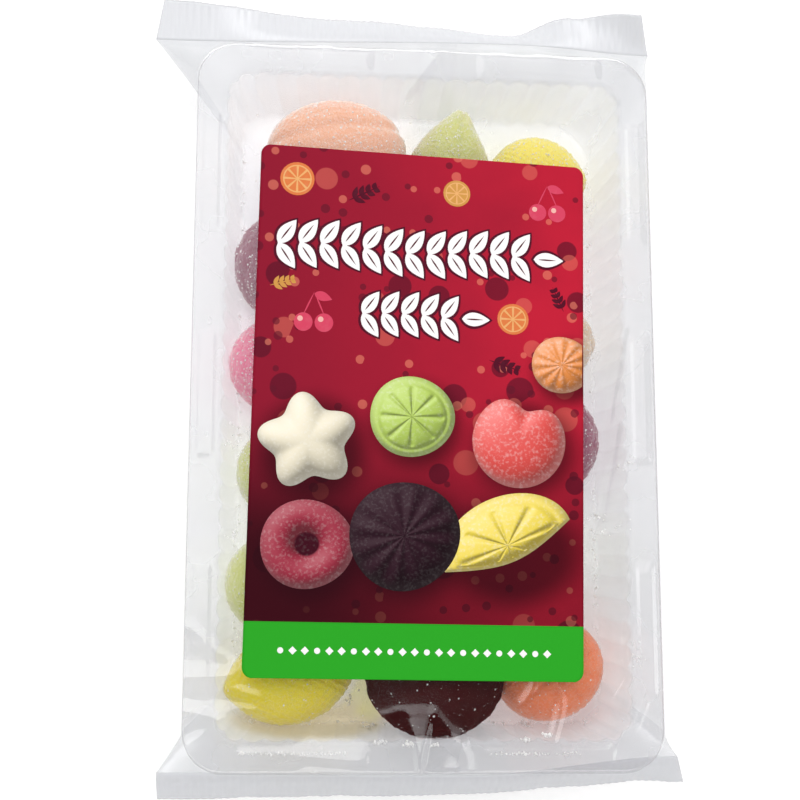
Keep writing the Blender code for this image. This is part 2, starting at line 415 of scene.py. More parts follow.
# %% Creases of the film
# Each crease: its points from start to end, height, width at the start, width at the end
CREASES = (
    (((-67, -79.9), (-53, -79.2)), 0.5, 2.8, 1.0),
    (((-53.8, -77), (-49.5, -79), (-45.8, -80.5)), 0.3, 1.3, 0.5),
    (((-53.5, -82.5), (-49, -84.5), (-46, -85)), 0.25, 1.3, 0.5),
    (((-66, -89.2), (-58, -90.6)), 0.5, 2.6, 2.0),
    (((-58, -88.2), (-48, -88.4)), 0.22, 1.6, 0.8),
    (((-65.5, -98.4), (-55.5, -91)), 0.42, 2.2, 1.6),
    (((-64.1, -70.8), (-55.7, -74.1), (-51, -78.6)), 0.1, 0.8, 0.7),
    (((-66, -66), (-60, -71)), 0.14, 1.6, 0.9),
    (((-32, -101.5), (-19, -103.5)), 0.7, 3.6, 4.6),
    (((-12.5, -90), (-6, -88.7), (2.1, -89.3)), 0.15, 0.6, 0.6),
    (((2.1, -89.1), (5.4, -93.2), (9.1, -97.2)), 0.3, 0.7, 1.6),
    (((9.1, -97.2), (9.9, -101.1), (9.4, -105)), 0.8, 1.8, 4.2),
    (((8.5, -105.2), (-2, -107.5)), 0.2, 1.6, 0.6),
    (((32.4, -77.4), (35.2, -80.7), (38, -85.6), (37.3, -89.7), (35.2, -96.6)), 0.4, 0.9, 1.2),
    (((30.7, -79), (29.8, -82.9), (26.9, -87)), 0.32, 0.9, 0.9),
    (((62, -86), (59, -93), (52, -99)), 0.2, 1.2, 1.2),
    (((56, -70), (57, -80), (53.5, -86)), 0.16, 1.0, 1.0),
    (((58.5, 20.8), (54.1, -0.1), (51, -20.7)), 0.09, 0.9, 1.0),
    (((55.5, -8), (50.5, -34)), 0.1, 1.2, 1.2),
    (((19.1, 74.6), (49.6, 94.6)), 0.09, 0.9, 0.8),
    (((28, 76), (58, 91)), 0.06, 1.2, 1.2),
    (((5.7, 107), (-6.3, 90.8)), 0.2, 1.4, 0.8),
    (((-58, 70), (-54, 92)), 0.07, 1.2, 1.2),
)


def ridge_height(x, y, start, end, rise, width_start, width_end):
    """A soft ridge along one straight stretch, whose width changes from start to end."""
    run_x, run_y = end[0] - start[0], end[1] - start[1]
    length = math.hypot(run_x, run_y)
    along = ((x - start[0]) * run_x + (y - start[1]) * run_y) / length
    beside = ((x - start[0]) * run_y - (y - start[1]) * run_x) / length
    width = width_start + (width_end - width_start) * np.clip(along / length, 0, 1)
    past = np.maximum(np.abs(along - length / 2) - length / 2, 0)
    return rise * bell(np.hypot(beside, past), width)


def crease_height(x, y):
    total = np.zeros(np.broadcast(x, y).shape)
    for points, rise, width_start, width_end in CREASES:
        stretches = len(points) - 1
        one = np.zeros_like(total)
        for step, (start, end) in enumerate(zip(points, points[1:])):
            widths = [width_start + (width_end - width_start) * (step + more) / stretches
                      for more in (0, 1)]
            one = np.maximum(one, ridge_height(x, y, start, end, rise, *widths))
        total += one
    return total


# %% The tent at the middle of the lower end
TENT_TOP = -88.5
TENT_FOOT = -107
TENT_SLOPE = 0.1


def tent_height(x, y):
    """A narrow facet that rises towards the seal, and narrows to a point there."""
    middle = np.interp(-y, (88, 97, 107), (-2, -1.8, -2.2))
    half = np.interp(-y, (88, 97, 107), (4.0, 2.2, 0.3))
    inside = soft_step(half - np.abs(x - middle), -0.6, 0.8)
    return TENT_SLOPE * np.clip(TENT_TOP - y, 0, TENT_TOP - TENT_FOOT) * inside


# %% Press the relief into the top of the bag
LABEL_CLEARANCE = 0.12
SAG = 0.18
BEAD_THROUGH_FILM = 0.4
SLACK_REACH = 14
LONG_WAVE = 0.05
SHORT_WAVE = 0.012
SIDE_WAVE = 0.12
label_corners = (label_points - tray_middle)[:, :2]
label_low, label_high = label_corners.min(axis=0), label_corners.max(axis=0)


def under_label(x, y):
    inside = np.minimum.reduce([x - label_low[0], label_high[0] - x,
                                y - label_low[1], label_high[1] - y])
    return soft_step(inside, -3, 2)


def film_height(x, y):
    """How far the film's top stands above the flat rim."""
    inside = np.minimum(rim_width / 2 - FLANGE - np.abs(x), rim_length / 2 - FLANGE - np.abs(y))
    slack = soft_step(inside, 0, SLACK_REACH)
    waves = LONG_WAVE * ripples(x, y, 34, 11) + SHORT_WAVE * ripples(x * 1.6, y, 12, 12)
    height = BEAD_THROUGH_FILM * bead_height(x, y) + crease_height(x, y) + tent_height(x, y)
    height += (waves - SAG) * slack
    hidden = under_label(x, y)
    ceiling = LABEL_GAP - FILM_LIFT - LABEL_CLEARANCE
    return height * (1 - hidden) + np.minimum(height, ceiling) * hidden


top = bag[:, :SPAN + 1]
on_top = soft_step(top[..., 2], rim_height - 5, rim_height - 0.5)
top[..., 2] += film_height(top[..., 0], top[..., 1]) * on_top
low_side = 1 - soft_step(bag[..., 2], 4, 12)
dents = SIDE_WAVE * ripples(bag[..., 0], bag[..., 1], 16, 13) * low_side
bag[..., 2] += dents * soft_step(bag[..., 2], 0.3, 3)
print("film stands up to %.1f mm" % top[..., 2].max())

# %% [markdown]
# Wrapping film is a thin sheet that hardly shows when it is looked straight through, and mirrors
# strongly at a slant. A glass shader would bend and darken what is behind it, so the film mixes
# three things: nothing at all, a faint white haze, and a mirror whose share grows at a slant. The
# slant comes from Layer Weight, because it is the same seen from inside and outside. A fine bump
# breaks up the mirror, as real film is never optically flat. There are three such films: the
# clear one over the tray, a cloudier one where it is drawn in beyond the tray, and the double,
# sealed one of the fins. The drawn and the sealed film are also greyer and let less through, which
# is partly their cloudiness and double layer and partly painted shade.

# %% Film material
FILM_EDGE = 0.1
EDGE_POWER = 4


def slant_share(tree, straight, edge, power=EDGE_POWER):
    """A share that grows from straight on to grazing, for both sides of a thin sheet."""
    facing = add_node(tree, "ShaderNodeLayerWeight", [("Blend", 0.5)]).outputs["Facing"]
    curve = math_node(tree, "POWER", facing, power)
    return math_node(tree, "MULTIPLY_ADD", curve, edge, straight, clamp=True)


def fine_bump(tree, shader, scale, strength, distance):
    place = add_node(tree, "ShaderNodeTexCoord").outputs["Object"]
    noise = add_node(tree, "ShaderNodeTexNoise",
                     [("Vector", place), ("Scale", scale), ("Detail", 2)])
    bump = add_node(tree, "ShaderNodeBump", [("Height", noise.outputs["Fac"]),
                                             ("Strength", strength), ("Distance", distance)])
    tree.links.new(bump.outputs["Normal"], shader.inputs["Normal"])


def make_film(name, clearness, haze, haze_low, haze_high, mirror_share, roughness):
    film, mirror = new_material(name, (1, 1, 1), roughness, Metallic=1)
    tree = film.node_tree
    fine_bump(tree, mirror, 130, 0.04, 0.001)
    clear = add_node(tree, "ShaderNodeBsdfTransparent", [("Color", (*clearness, 1))])
    milk = add_node(tree, "ShaderNodeBsdfPrincipled", [("Base Color", (*haze, 1)),
                                                       ("Roughness", 0.6)])
    hazy = mix_shader(tree, mottle(tree, 22, haze_low, haze_high),
                      clear.outputs[0], milk.outputs[0])
    share = slant_share(tree, mirror_share, FILM_EDGE)
    show(tree, mix_shader(tree, share, hazy, mirror.outputs[0]))
    return film


film_material = make_film("clear_film", (0.965, 0.967, 0.975), (0.93, 0.94, 0.96), 0.0, 0.006,
                          0.085, 0.13)
# Greyer than the clear film: partly cloudier film, partly painted shade
drawn_material = make_film("drawn_film", (0.9, 0.905, 0.915), (0.8, 0.81, 0.83), 0.08, 0.2,
                           0.06, 0.18)
# Greyer than the clear film: partly a double layer, partly painted shade
seal_material = make_film("sealed_film", (0.86, 0.865, 0.88), (0.8, 0.805, 0.83), 0.4, 0.55,
                          0.03, 0.22)

# %% Make the film
film_faces = grid_faces(*bag.shape[:2], closed=True)[:, ::-1]
film_bag = add_piece("film_bag", bag.reshape(-1, 3), film_faces, [film_material, drawn_material])
# Beyond the tray the film is drawn in, and cloudier
face_rows = np.arange(len(film_faces)) // bag.shape[1]
beyond_tray = (face_rows < THROAT_ROWS) | (face_rows >= THROAT_ROWS + BODY_ROWS)
film_bag.data.polygons.foreach_set("material_index", beyond_tray.astype(np.int32))
film_bag.visible_shadow = False
print("film_bag:", len(film_faces), "faces")

# %% [markdown]
# At both ends the bag is pressed flat between ribbed jaws, which leaves a fin: two films in one,
# with ribs across it. It hangs down where the pack lies on a table, more in some places than in
# others. The fin is a grid that bends away from the seal by an angle that changes along it.

# %% Crimped fins
FIN_LENGTH = 12.5
FIN_COLUMNS = 552
FIN_ROWS = 14
CRIMP_PITCH = 2.2
CRIMP_HEIGHT = 0.06
FIN_THICKNESS = 0.12
BEND_START = 0.3
BEND_RATE = 1.6


def fin_points(fin, seed):
    share = np.linspace(0, 1, FIN_COLUMNS + 1)[None, :]
    out = np.linspace(0, 1, FIN_ROWS + 1)[:, None]
    x, y = seal_line(fin, share)
    x = x + (fin["narrow"][0] * (1 - share) + fin["narrow"][1] * share) * out
    waver = 1.8 * ripples(x, out * 5, 19, seed) + 0.8 * ripples(x, out * 5, 7, seed + 1)
    droop = np.radians(follow(fin["droop"], share) + waver * out)
    bend = droop * np.clip(BEND_START + BEND_RATE * out, 0, 1)
    step = FIN_LENGTH / FIN_ROWS
    reach = np.cumsum(np.cos(bend), axis=0) * step - np.cos(bend[:1]) * step
    drop = np.cumsum(np.sin(bend), axis=0) * step - np.sin(bend[:1]) * step
    rib = CRIMP_HEIGHT * np.sin(2 * math.pi * x / CRIMP_PITCH) * soft_step(out, 0.02, 0.12)
    edge = 0.12 * ripples(x, out * 0, 9, seed + 2) * out
    y = y + fin["side"] * (reach + edge + rib * np.sin(bend))
    z = FIN_HEIGHT - drop + rib * np.cos(bend)
    return np.stack([np.broadcast_to(x, z.shape), y, z], axis=-1)


def make_fin(name, fin, seed):
    points = fin_points(fin, seed)
    faces = grid_faces(*points.shape[:2])
    if fin["side"] > 0:
        faces = faces[:, ::-1]
    piece = add_piece(name, points.reshape(-1, 3), faces, [seal_material])
    sheet = piece.modifiers.new("film_thickness", "SOLIDIFY")
    sheet.thickness = FIN_THICKNESS * MM
    sheet.offset = 0
    print(name, "reaches down to %.1f mm" % points[..., 2].min())
    return piece


rear_fin = make_fin("rear_fin", REAR_FIN, 21)
front_fin = make_fin("front_fin", FRONT_FIN, 31)

# %% [markdown]
# The film is one sheet, closed into a tube by a long seam under the pack. The seam is a strip of
# double film that lies flat against the underside. It follows the underside of the bag, so its
# points are read from the bag's own rings.

# %% Back seam
SEAM_LEFT = -1
SEAM_RIGHT = 11
SEAM_COLUMNS = 24
SEAM_DEPTH = 0.06
SEAM_RIB_HEIGHT = 0.03
SEAM_RIB_PITCH = 1.6
under_side = bag[:, SPAN + SIDE:2 * SPAN + SIDE + 1][:, ::-1]
seam_x = np.linspace(SEAM_LEFT, SEAM_RIGHT, SEAM_COLUMNS + 1)
seam_rows = []
for ring in under_side:
    seam_y = np.interp(seam_x, ring[:, 0], ring[:, 1])
    seam_z = np.interp(seam_x, ring[:, 0], ring[:, 2])
    seam_rows.append(np.stack([seam_x, seam_y, seam_z - SEAM_DEPTH], axis=1))
seam_points = np.array(seam_rows)
seam_ribs = SEAM_RIB_HEIGHT * np.sin(2 * math.pi * seam_points[..., 1] / SEAM_RIB_PITCH)
seam_points[..., 2] += seam_ribs * soft_step(seam_x, 1, 2)
back_seam = add_piece("back_seam", seam_points.reshape(-1, 3), grid_faces(*seam_points.shape[:2]),
                      [film_material])
print("back seam of", len(seam_rows), "rows")

# %% [markdown]
# The tray is vacuum formed from one thin sheet of milky plastic: a flange with raised beads and
# steep walls with flutes that stiffen them. Such a tray is a stack of closed outlines, each a
# little further in. One function gives the outline for any inset, with its flutes, so the whole
# tray is a short table of rows.

# %% Outline of the tray with flutes
LONG_POINTS = 280
SHORT_POINTS = 160
CORNER_POINTS = 20
LONG_FLUTES = 28
SHORT_FLUTES = 16
CORNER_FLUTES = 2


def tray_outline(inset, corner, flute):
    """A rounded rectangle with scallops that bulge outwards, as points x, y."""
    half_width, half_length = rim_width / 2 - inset, rim_length / 2 - inset
    points = []
    sides = ((0, half_width, half_length, LONG_POINTS, LONG_FLUTES),
             (1, half_length, half_width, SHORT_POINTS, SHORT_FLUTES),
             (2, half_width, half_length, LONG_POINTS, LONG_FLUTES),
             (3, half_length, half_width, SHORT_POINTS, SHORT_FLUTES))
    for turn, reach, half_run, count, flutes in sides:
        share = np.arange(count) / count
        bulge = flute * np.abs(np.sin(math.pi * share * flutes)) - flute / 2
        run = (half_run - corner) * (2 * share - 1)
        x, y = reach + bulge, run
        share = np.arange(CORNER_POINTS) / CORNER_POINTS
        bulge = flute * np.abs(np.sin(math.pi * share * CORNER_FLUTES)) - flute / 2
        angle = share * math.pi / 2
        corner_x = reach - corner + (corner + bulge) * np.cos(angle)
        corner_y = half_run - corner + (corner + bulge) * np.sin(angle)
        x, y = np.concatenate([x, corner_x]), np.concatenate([y, corner_y])
        turned = {0: (x, y), 1: (-y, x), 2: (-x, -y), 3: (y, -x)}[turn]
        points.append(np.stack(turned, axis=1))
    return np.concatenate(points)


# %% Rows of the tray
WALL_ROWS = 18
FLANGE_LEVEL = 25.7
TRAY_BEAD_SHARE = 0.6


def tray_profile():
    """Rows from the flange's outer lip down the wall to the floor: inset, height, corner, flute."""
    rows = [(0.3, 24.2, 12, 0), (0.15, 25.2, 12, 0), (0.5, 25.75, 11.6, 0)]
    rows += [(inset, 25.85, 12 - inset * 0.5, 0) for inset in np.linspace(1.3, 8.1, 18)]
    rows += [(8.7, 25.6, 7.6, 0), (9.1, 25.2, 7.4, 0.3), (9.4, 24.8, 7.2, 0.8)]
    for share in np.linspace(0, 1, WALL_ROWS + 1):
        rows.append((9.6 + 3.7 * share ** 1.8, 24.3 - 21.6 * share, 7, 0.95 - 0.2 * share))
    rows += [(13.8, 1.9, 6.4, 0.6), (14.8, 1.5, 6, 0.3), (17, 1.25, 5.4, 0)]
    rows += [(22, 1.2, 6, 0), (27.6, 1.25, 7, 0), (28.6, 1.9, 7, 0), (29.8, 2.1, 8, 0)]
    rows += [(inset, 2.1, 9, 0) for inset in (36, 44, 52, 60)]
    return rows


tray_rows = []
for inset, height, corner, flute in tray_profile():
    outline = tray_outline(inset, min(corner, rim_width / 2 - inset - 0.5), flute)
    level = np.full(len(outline), float(height))
    if height > FLANGE_LEVEL:
        level += bead_height(outline[:, 0], outline[:, 1]) * TRAY_BEAD_SHARE
    tray_rows.append(np.column_stack([outline, level]))
tray_points = np.array(tray_rows)
print("tray of", tray_points.shape[0], "rows with", tray_points.shape[1], "points each")

# %% [markdown]
# The tray's plastic is clear but milky: light passes through, and what lies behind it is soft and
# whitish. A mix of nothing and a white, softly shining plastic does that, with more white at a
# slant, where the eye looks through more of it. Beside a jelly the plastic takes on that jelly's
# colour from the light that comes through it. That coloured light, with some painted shade, is
# painted into a tint stored for each point of the mesh, once the jellies are placed.

# %% Tray material
def make_tray_material():
    plastic, shader = new_material("milky_tray", (0.93, 0.94, 0.955), 0.4, Specular_IOR_Level=0.2)
    tree = plastic.node_tree
    # The tint holds the plastic's white with painted light and painted shade
    tint = add_node(tree, "ShaderNodeAttribute", attribute_name="tray_tint_painted_light_and_shade").outputs["Color"]
    tree.links.new(tint, shader.inputs["Base Color"])
    clear = add_node(tree, "ShaderNodeBsdfTransparent", [("Color", tint)])
    milk = math_node(tree, "ADD", slant_share(tree, 0.0, 0.1, 2), mottle(tree, 40, 0.2, 0.3),
                     clamp=True)
    show(tree, mix_shader(tree, milk, clear.outputs[0], shader.outputs[0]))
    return plastic


# %% Make the tray
tray_material = make_tray_material()
ring_length = tray_points.shape[1]
tray_faces = [tuple(face) for face in grid_faces(*tray_points.shape[:2], closed=True)]
last_row = (tray_points.shape[0] - 1) * ring_length
tray_faces.append(tuple(range(last_row, last_row + ring_length)))
tray = add_piece("tray", tray_points.reshape(-1, 3), tray_faces, [tray_material])
tray.visible_shadow = False
print("tray:", len(tray_faces), "faces")

# %% [markdown]
# The jellies are cast in moulds of starch, so each has a flat base, a full, domed top and the
# blunt relief of a fruit. All of them start from the same finely divided ball. Its upper half is
# stretched into a dome and its lower half into a thin rounded base, and then each fruit has its
# own outline and relief. This keeps the points evenly spread, half a millimetre apart, which is
# fine enough for the grain of the sugar to be real relief.

# %% Ball and dome
JELLY_DETAIL = 6
BASE_DEPTH = 2.4
TOP_FULLNESS = 2.5
BASE_FULLNESS = 6


def unit_ball(detail):
    ball = bmesh.new()
    bmesh.ops.create_icosphere(ball, subdivisions=detail, radius=1)
    points = np.array([vert.co for vert in ball.verts])
    faces = np.array([[vert.index for vert in face.verts] for face in ball.faces])
    ball.free()
    return points, faces


ball_points, ball_faces = unit_ball(JELLY_DETAIL)


def dome(length, width, height, fullness=TOP_FULLNESS):
    """A flat-based dome: the points, their outward directions and their share of the top."""
    x, y, z = ball_points.T
    flat = np.hypot(x, y)
    power = np.where(z > 0, 2 / fullness, 2 / BASE_FULLNESS)
    spread = flat ** power / np.maximum(flat, 1e-6)
    rise = np.where(z > 0, height - BASE_DEPTH, BASE_DEPTH)
    tall = np.sign(z) * np.abs(z) ** power * rise + BASE_DEPTH
    points = np.stack([x * spread * length / 2, y * spread * width / 2, tall], axis=1)
    outward = ball_points / np.array([length / 2, width / 2, height])
    outward /= np.linalg.norm(outward, axis=1, keepdims=True)
    return points, outward, soft_step(z, -0.25, 0.15)[:, None]


# %% Reliefs that fruits share
GOLDEN_ANGLE = math.pi * (3 - math.sqrt(5))
KNOB_FILL = 1.12
KNOB_SPREAD = 1.2


def knobs(count, height):
    """Round beads packed over the dome, as on brambles and raspberries."""
    index = np.arange(count) + 0.5
    up = 1 - KNOB_SPREAD * index / count
    flat = np.sqrt(1 - up * up)
    around = index * GOLDEN_ANGLE
    centres = np.stack([flat * np.cos(around), flat * np.sin(around), up], axis=1)
    reach = KNOB_FILL * math.sqrt(2.4 * 2 / count)
    nearest = np.full(len(ball_points), 9.0)
    for centre in centres:
        nearest = np.minimum(nearest, np.linalg.norm(ball_points - centre, axis=1))
    return height * np.sqrt(np.clip(1 - (nearest / reach) ** 2, 0, 1))[:, None]


def groove(along, place, depth, width):
    return -depth * bell(along - place, width)[:, None]


# %% Forms of the fruits
def peach_form(length, width, height):
    points, outward, top = dome(length, width, height, 2.7)
    crease = groove(ball_points[:, 1] - 0.12 * ball_points[:, 0], 0.18, 0.7, 0.09)
    return points + outward * top * crease


def pear_form(length, width, height):
    points, outward, top = dome(length, width, height, 2.3)
    share = points[:, 1] / (width / 2)
    points[:, 0] *= 1 - 0.5 * soft_step(share, -0.2, 1.0)
    points[:, 0] += 1.6 * soft_step(share, 0.4, 1.0)
    rib = groove(ball_points[:, 0], 0.1, 0.6, 0.1)
    return points + outward * top * rib


def lemon_form(length, width, height):
    points, outward, top = dome(length, width, height, 2.3)
    share = points[:, 0] / (length / 2)
    points[:, 1] *= 1 - 0.2 * np.abs(share) ** 3
    nub = bell(points[:, 1], 3.4) * soft_step(np.abs(share), 0.8, 1.0)
    points[:, 0] += np.sign(share) * 1.0 * nub
    dimples = 0.18 * np.sin(ball_points[:, 0] * 38) * np.sin(ball_points[:, 1] * 38)
    return points + outward * top * dimples[:, None]


def bramble_form(length, width, height):
    points, outward, top = dome(length, width, height - 1.2, 2.3)
    return points + outward * top * (knobs(44, 2.4) - 0.6)


def raspberry_form(length, width, height):
    points, outward, top = dome(length, width, height - 0.8, 2.3)
    return points + outward * top * (knobs(84, 1.5) - 0.3)


def pineapple_form(length, width, height):
    points, outward, top = dome(length, width, height, 2.4)
    share = points[:, 1] / (width / 2)
    crown = soft_step(share, 0.62, 0.72)
    points[:, 0] *= 1 - 0.3 * crown
    turn = np.arctan2(ball_points[:, 0], ball_points[:, 2])
    one, two = turn * 3.4 + share * 5.2, turn * 3.4 - share * 5.2
    scales = 0.8 * (np.abs(np.sin(one)) * np.abs(np.sin(two))) ** 0.5 * (1 - crown)
    leaves = 1.3 * np.abs(np.sin(turn * 4)) * crown
    return points + outward * top * (scales + leaves - 0.4)[:, None]


def citrus_form(length, width, height):
    points, outward, top = dome(length, width, height, 2.5)
    angle = np.arctan2(ball_points[:, 1], ball_points[:, 0])
    flat = np.hypot(ball_points[:, 0], ball_points[:, 1])
    navel = groove(flat, 0.0, 1.2, 0.12)
    rays = -0.45 * np.abs(np.cos(angle * 4.5))[:, None] ** 14 * soft_step(flat, 0.08, 0.2)[:, None]
    return points + outward * top * (navel + rays * (1 - soft_step(flat, 0.6, 0.85))[:, None])


def apple_form(length, width, height):
    points, outward, top = dome(length, width, height, 2.6)
    notch = bell(ball_points[:, 0], 0.16) * soft_step(ball_points[:, 1], 0.6, 1)
    points[:, 1] -= 2.4 * notch
    cheek = groove(ball_points[:, 0], -0.55, 0.7, 0.1)
    return points + outward * top * cheek


# %% [markdown]
# Sugared jelly is two things at once: a clear, coloured gel that light soaks through, and a crust
# of fine sugar that scatters it. The gel is a Principled shader with subsurface light. The crust
# is a shader group that whitens and roughens the surface in grains and raises them a little, and
# it is shared by all the fruits. It has its own relief too, from tiny random moves of the points.
# At the jelly's edge the eye meets the crust at a slant and sees more of it, so it is frosty there.

# %% Shader group for the sugar crust
GRAIN_SCALE = 1500
CLUMP_SCALE = 170


def make_sugar_group():
    group, source, target = new_group(
        "sugar_dust", [("Fruit", "Color"), ("Sugar", "Color"), ("Amount", "Float")],
        [("Color", "Color"), ("Roughness", "Float"), ("Height", "Float")])
    place = add_node(group, "ShaderNodeTexCoord").outputs["Object"]
    grain = add_node(group, "ShaderNodeTexVoronoi", [("Vector", place), ("Scale", GRAIN_SCALE)])
    clump = add_node(group, "ShaderNodeTexNoise",
                     [("Vector", place), ("Scale", CLUMP_SCALE), ("Detail", 3)])
    spot = map_range(group, grain.outputs["Distance"], 0.1, 0.6, 1, 0)
    patch = map_range(group, clump.outputs["Fac"], 0.35, 0.65, 0.35, 1)
    both = math_node(group, "MULTIPLY", spot, patch)
    share = math_node(group, "MULTIPLY", both, source["Amount"], clamp=True)
    colour = mix_colour(group, share, source["Fruit"], source["Sugar"])
    rough = map_range(group, both, 0, 1, 0.38, 0.75)
    for socket, value in (("Color", colour), ("Roughness", rough), ("Height", both)):
        group.links.new(value, target[socket])
    return group


sugar_group = make_sugar_group()


# %% Jelly material
SUGAR_WHITE = (0.93, 0.9, 0.88, 1)
FROST = 1.8
FROST_POWER = 2.5


def make_jelly_material(name, colour, amount, gloss):
    """A translucent gel under a crust of fine sugar."""
    jelly, shader = new_material(name, colour, 0.5, Subsurface_Weight=0.55, Subsurface_Scale=0.004,
                                 Specular_IOR_Level=gloss)
    shader.inputs["Subsurface Radius"].default_value = (1.0, 0.75, 0.55)
    tree = jelly.node_tree
    dust = add_node(tree, "ShaderNodeGroup", node_tree=sugar_group)
    dust.inputs["Fruit"].default_value = (*colour, 1)
    dust.inputs["Sugar"].default_value = SUGAR_WHITE
    dust.inputs["Amount"].default_value = amount
    bump = add_node(tree, "ShaderNodeBump", [("Height", dust.outputs["Height"]),
                                             ("Strength", 0.6), ("Distance", 0.0003)])
    frost = mix_colour(tree, slant_share(tree, 0.0, FROST * amount, FROST_POWER),
                       dust.outputs["Color"], SUGAR_WHITE)
    tree.links.new(frost, shader.inputs["Base Color"])
    tree.links.new(dust.outputs["Roughness"], shader.inputs["Roughness"])
    tree.links.new(bump.outputs["Normal"], shader.inputs["Normal"])
    return jelly


# %% Kinds of jelly
# Each kind: form, colour in linear light, share of sugar in the crust, gloss
JELLY_KINDS = {
    "peach": (peach_form, (0.76, 0.34, 0.17), 0.44, 0.25),
    "pear": (pear_form, (0.53, 0.54, 0.11), 0.38, 0.25),
    "lemon": (lemon_form, (0.84, 0.7, 0.045), 0.2, 0.2),
    "bramble": (bramble_form, (0.045, 0.0006, 0.0008), 0.0, 0.01),
    "mulberry": (bramble_form, (0.23, 0.009, 0.07), 0.18, 0.1),
    "raspberry": (raspberry_form, (0.76, 0.07, 0.22), 0.3, 0.2),
    "pineapple": (pineapple_form, (0.68, 0.5, 0.33), 0.34, 0.25),
    "citrus": (citrus_form, (0.88, 0.25, 0.11), 0.18, 0.2),
    "apple": (apple_form, (0.56, 0.6, 0.11), 0.34, 0.2),
}

# Each jelly: kind, middle x, y, turn and lean in degrees, length, width, height, grains of sugar
JELLIES = (
    ("peach", -25.7, 78, 4, 0, 43, 32, 17.5, 1500), ("pear", 9.5, 77.5, -6, 0, 25, 33, 17, 1100),
    ("lemon", 35.6, 71, 3, 0, 31, 28, 16.5, 1100),
    ("mulberry", -37, 43, 20, 0, 35, 33, 18, 1000), ("apple", 1, 46, 8, 0, 33, 31, 16.5, 1100),
    ("citrus", 31.8, 45.4, 0, 0, 29.5, 25, 17, 1100),
    ("raspberry", -39, 12, 0, 0, 34, 29, 17.5, 1500), ("lemon", -1, 14, 75, 0, 35, 28, 16.5, 1100),
    ("pineapple", 37, 21, -4, 0, 33, 25, 17, 1400),
    ("apple", -37.5, -21, -15, 0, 33, 29, 16.5, 1400),
    ("mulberry", 0, -18.5, 50, 0, 31, 29, 18, 1100), ("mulberry", 36, -10, 0, 0, 33, 31, 18, 800),
    ("apple", -39.9, -52.4, 6, 0, 34, 31, 16.5, 900),
    ("raspberry", 0.5, -47, 0, 0, 31, 26, 17, 1100), ("pear", 32, -43, -90, 0, 28, 33, 17, 1100),
    ("lemon", -37.4, -79.2, 12, 0, 37, 27, 17, 150),
    ("bramble", 4.1, -79.8, 0, -14, 37.5, 34, 18, 120), ("citrus", 38, -77, 25, 0, 32, 29, 17, 160),
)
JELLY_FLOOR = 2.35
GRAIN_RELIEF = 0.11


def turned(points, spin, lean_x, lean_y):
    turn = Matrix.Rotation(spin, 3, "Z") @ Matrix.Rotation(lean_x, 3, "X")
    return points @ np.array(turn @ Matrix.Rotation(lean_y, 3, "Y")).T


def jelly_points(form, x, y, turn, lean, sizes, random):
    """One jelly in its place, leaning a little, with its lowest point on the tray's floor."""
    points = form(*sizes)
    points += ball_points * random.normal(0, GRAIN_RELIEF, (len(points), 1))
    lean_x, lean_y = random.normal(0, math.radians(2.5), 2)
    points = turned(points, math.radians(turn), lean_x + math.radians(lean), lean_y)
    points[:, 2] += JELLY_FLOOR - points[:, 2].min()
    return points + (x, y, 0)


# %% Make the jellies, one piece for each kind
def joined(parts, faces):
    """Several copies of a mesh with the same faces, as one list of points and of faces."""
    starts = np.arange(len(parts)) * len(parts[0])
    return np.concatenate(parts), np.concatenate([faces + start for start in starts])


random = np.random.default_rng(7)
shapes = [(kind, jelly_points(JELLY_KINDS[kind][0], x, y, turn, lean, sizes, random), grains)
          for kind, x, y, turn, lean, *sizes, grains in JELLIES]
for kind, (form, colour, amount, gloss) in JELLY_KINDS.items():
    points, faces = joined([shape for name, shape, grains in shapes if name == kind], ball_faces)
    jelly_material = make_jelly_material(kind + "_jelly", colour, amount, gloss)
    add_piece("jelly_" + kind, points, faces, [jelly_material])
print(len(shapes), "jellies in", len(JELLY_KINDS), "kinds, up to %.1f mm high"
      % max(points[:, 2].max() for kind, points, grains in shapes))

# %% [markdown]
# Next comes the tint of the tray, with painted light and painted shade in it. Light that comes
# through each jelly colours the plastic around it, and that coloured light is painted on, the more
# the closer the jelly is, so a point's tint is its own white with a little of each near jelly mixed
# in. How near a jelly is follows from its ellipse. A painted shade lies over the right side, the
# painted jelly colour fades towards the far and the left wall, a few soft patches of painted light
# lie where light came through a jelly, and patches of painted shade where little of it came. The
# flange is painted a shade of grey.

# %% Tint the tray, with painted light and shade beside the jellies
TRAY_WHITE = np.array([0.985, 0.985, 0.99])
# Painted shade: the grey given to the flange outside the cavity
FLANGE_PAINTED_SHADE = np.array([0.84, 0.84, 0.85])
TINT_REACH = 0.45
TINT_SHARE = 0.22
# Painted shade over the right side of the cavity
RIGHT_SHADE = 0.065
FAR_FADE = 0.7
LEFT_FADE = 0.5
# Each patch of painted coloured light or painted shade: x, y, reach along x and y, colour, share
TRAY_PAINTED_LIGHT_AND_SHADE = ((-31, -91.5, 24, 5.5, (0.8, 0.66, 0.34), 0.6),
               (-48, -82, 6, 9, (0.85, 0.74, 0.5), 0.4),
               (36, -89, 22, 6, (0.86, 0.7, 0.68), 0.4),
               (52, -70, 5, 20, (0.88, 0.76, 0.74), 0.3),
               (-13.5, -84, 7, 8, (0.98, 0.93, 0.42), 0.6),
               (-51, 71, 7, 17, (0.87, 0.87, 0.89), 0.75))


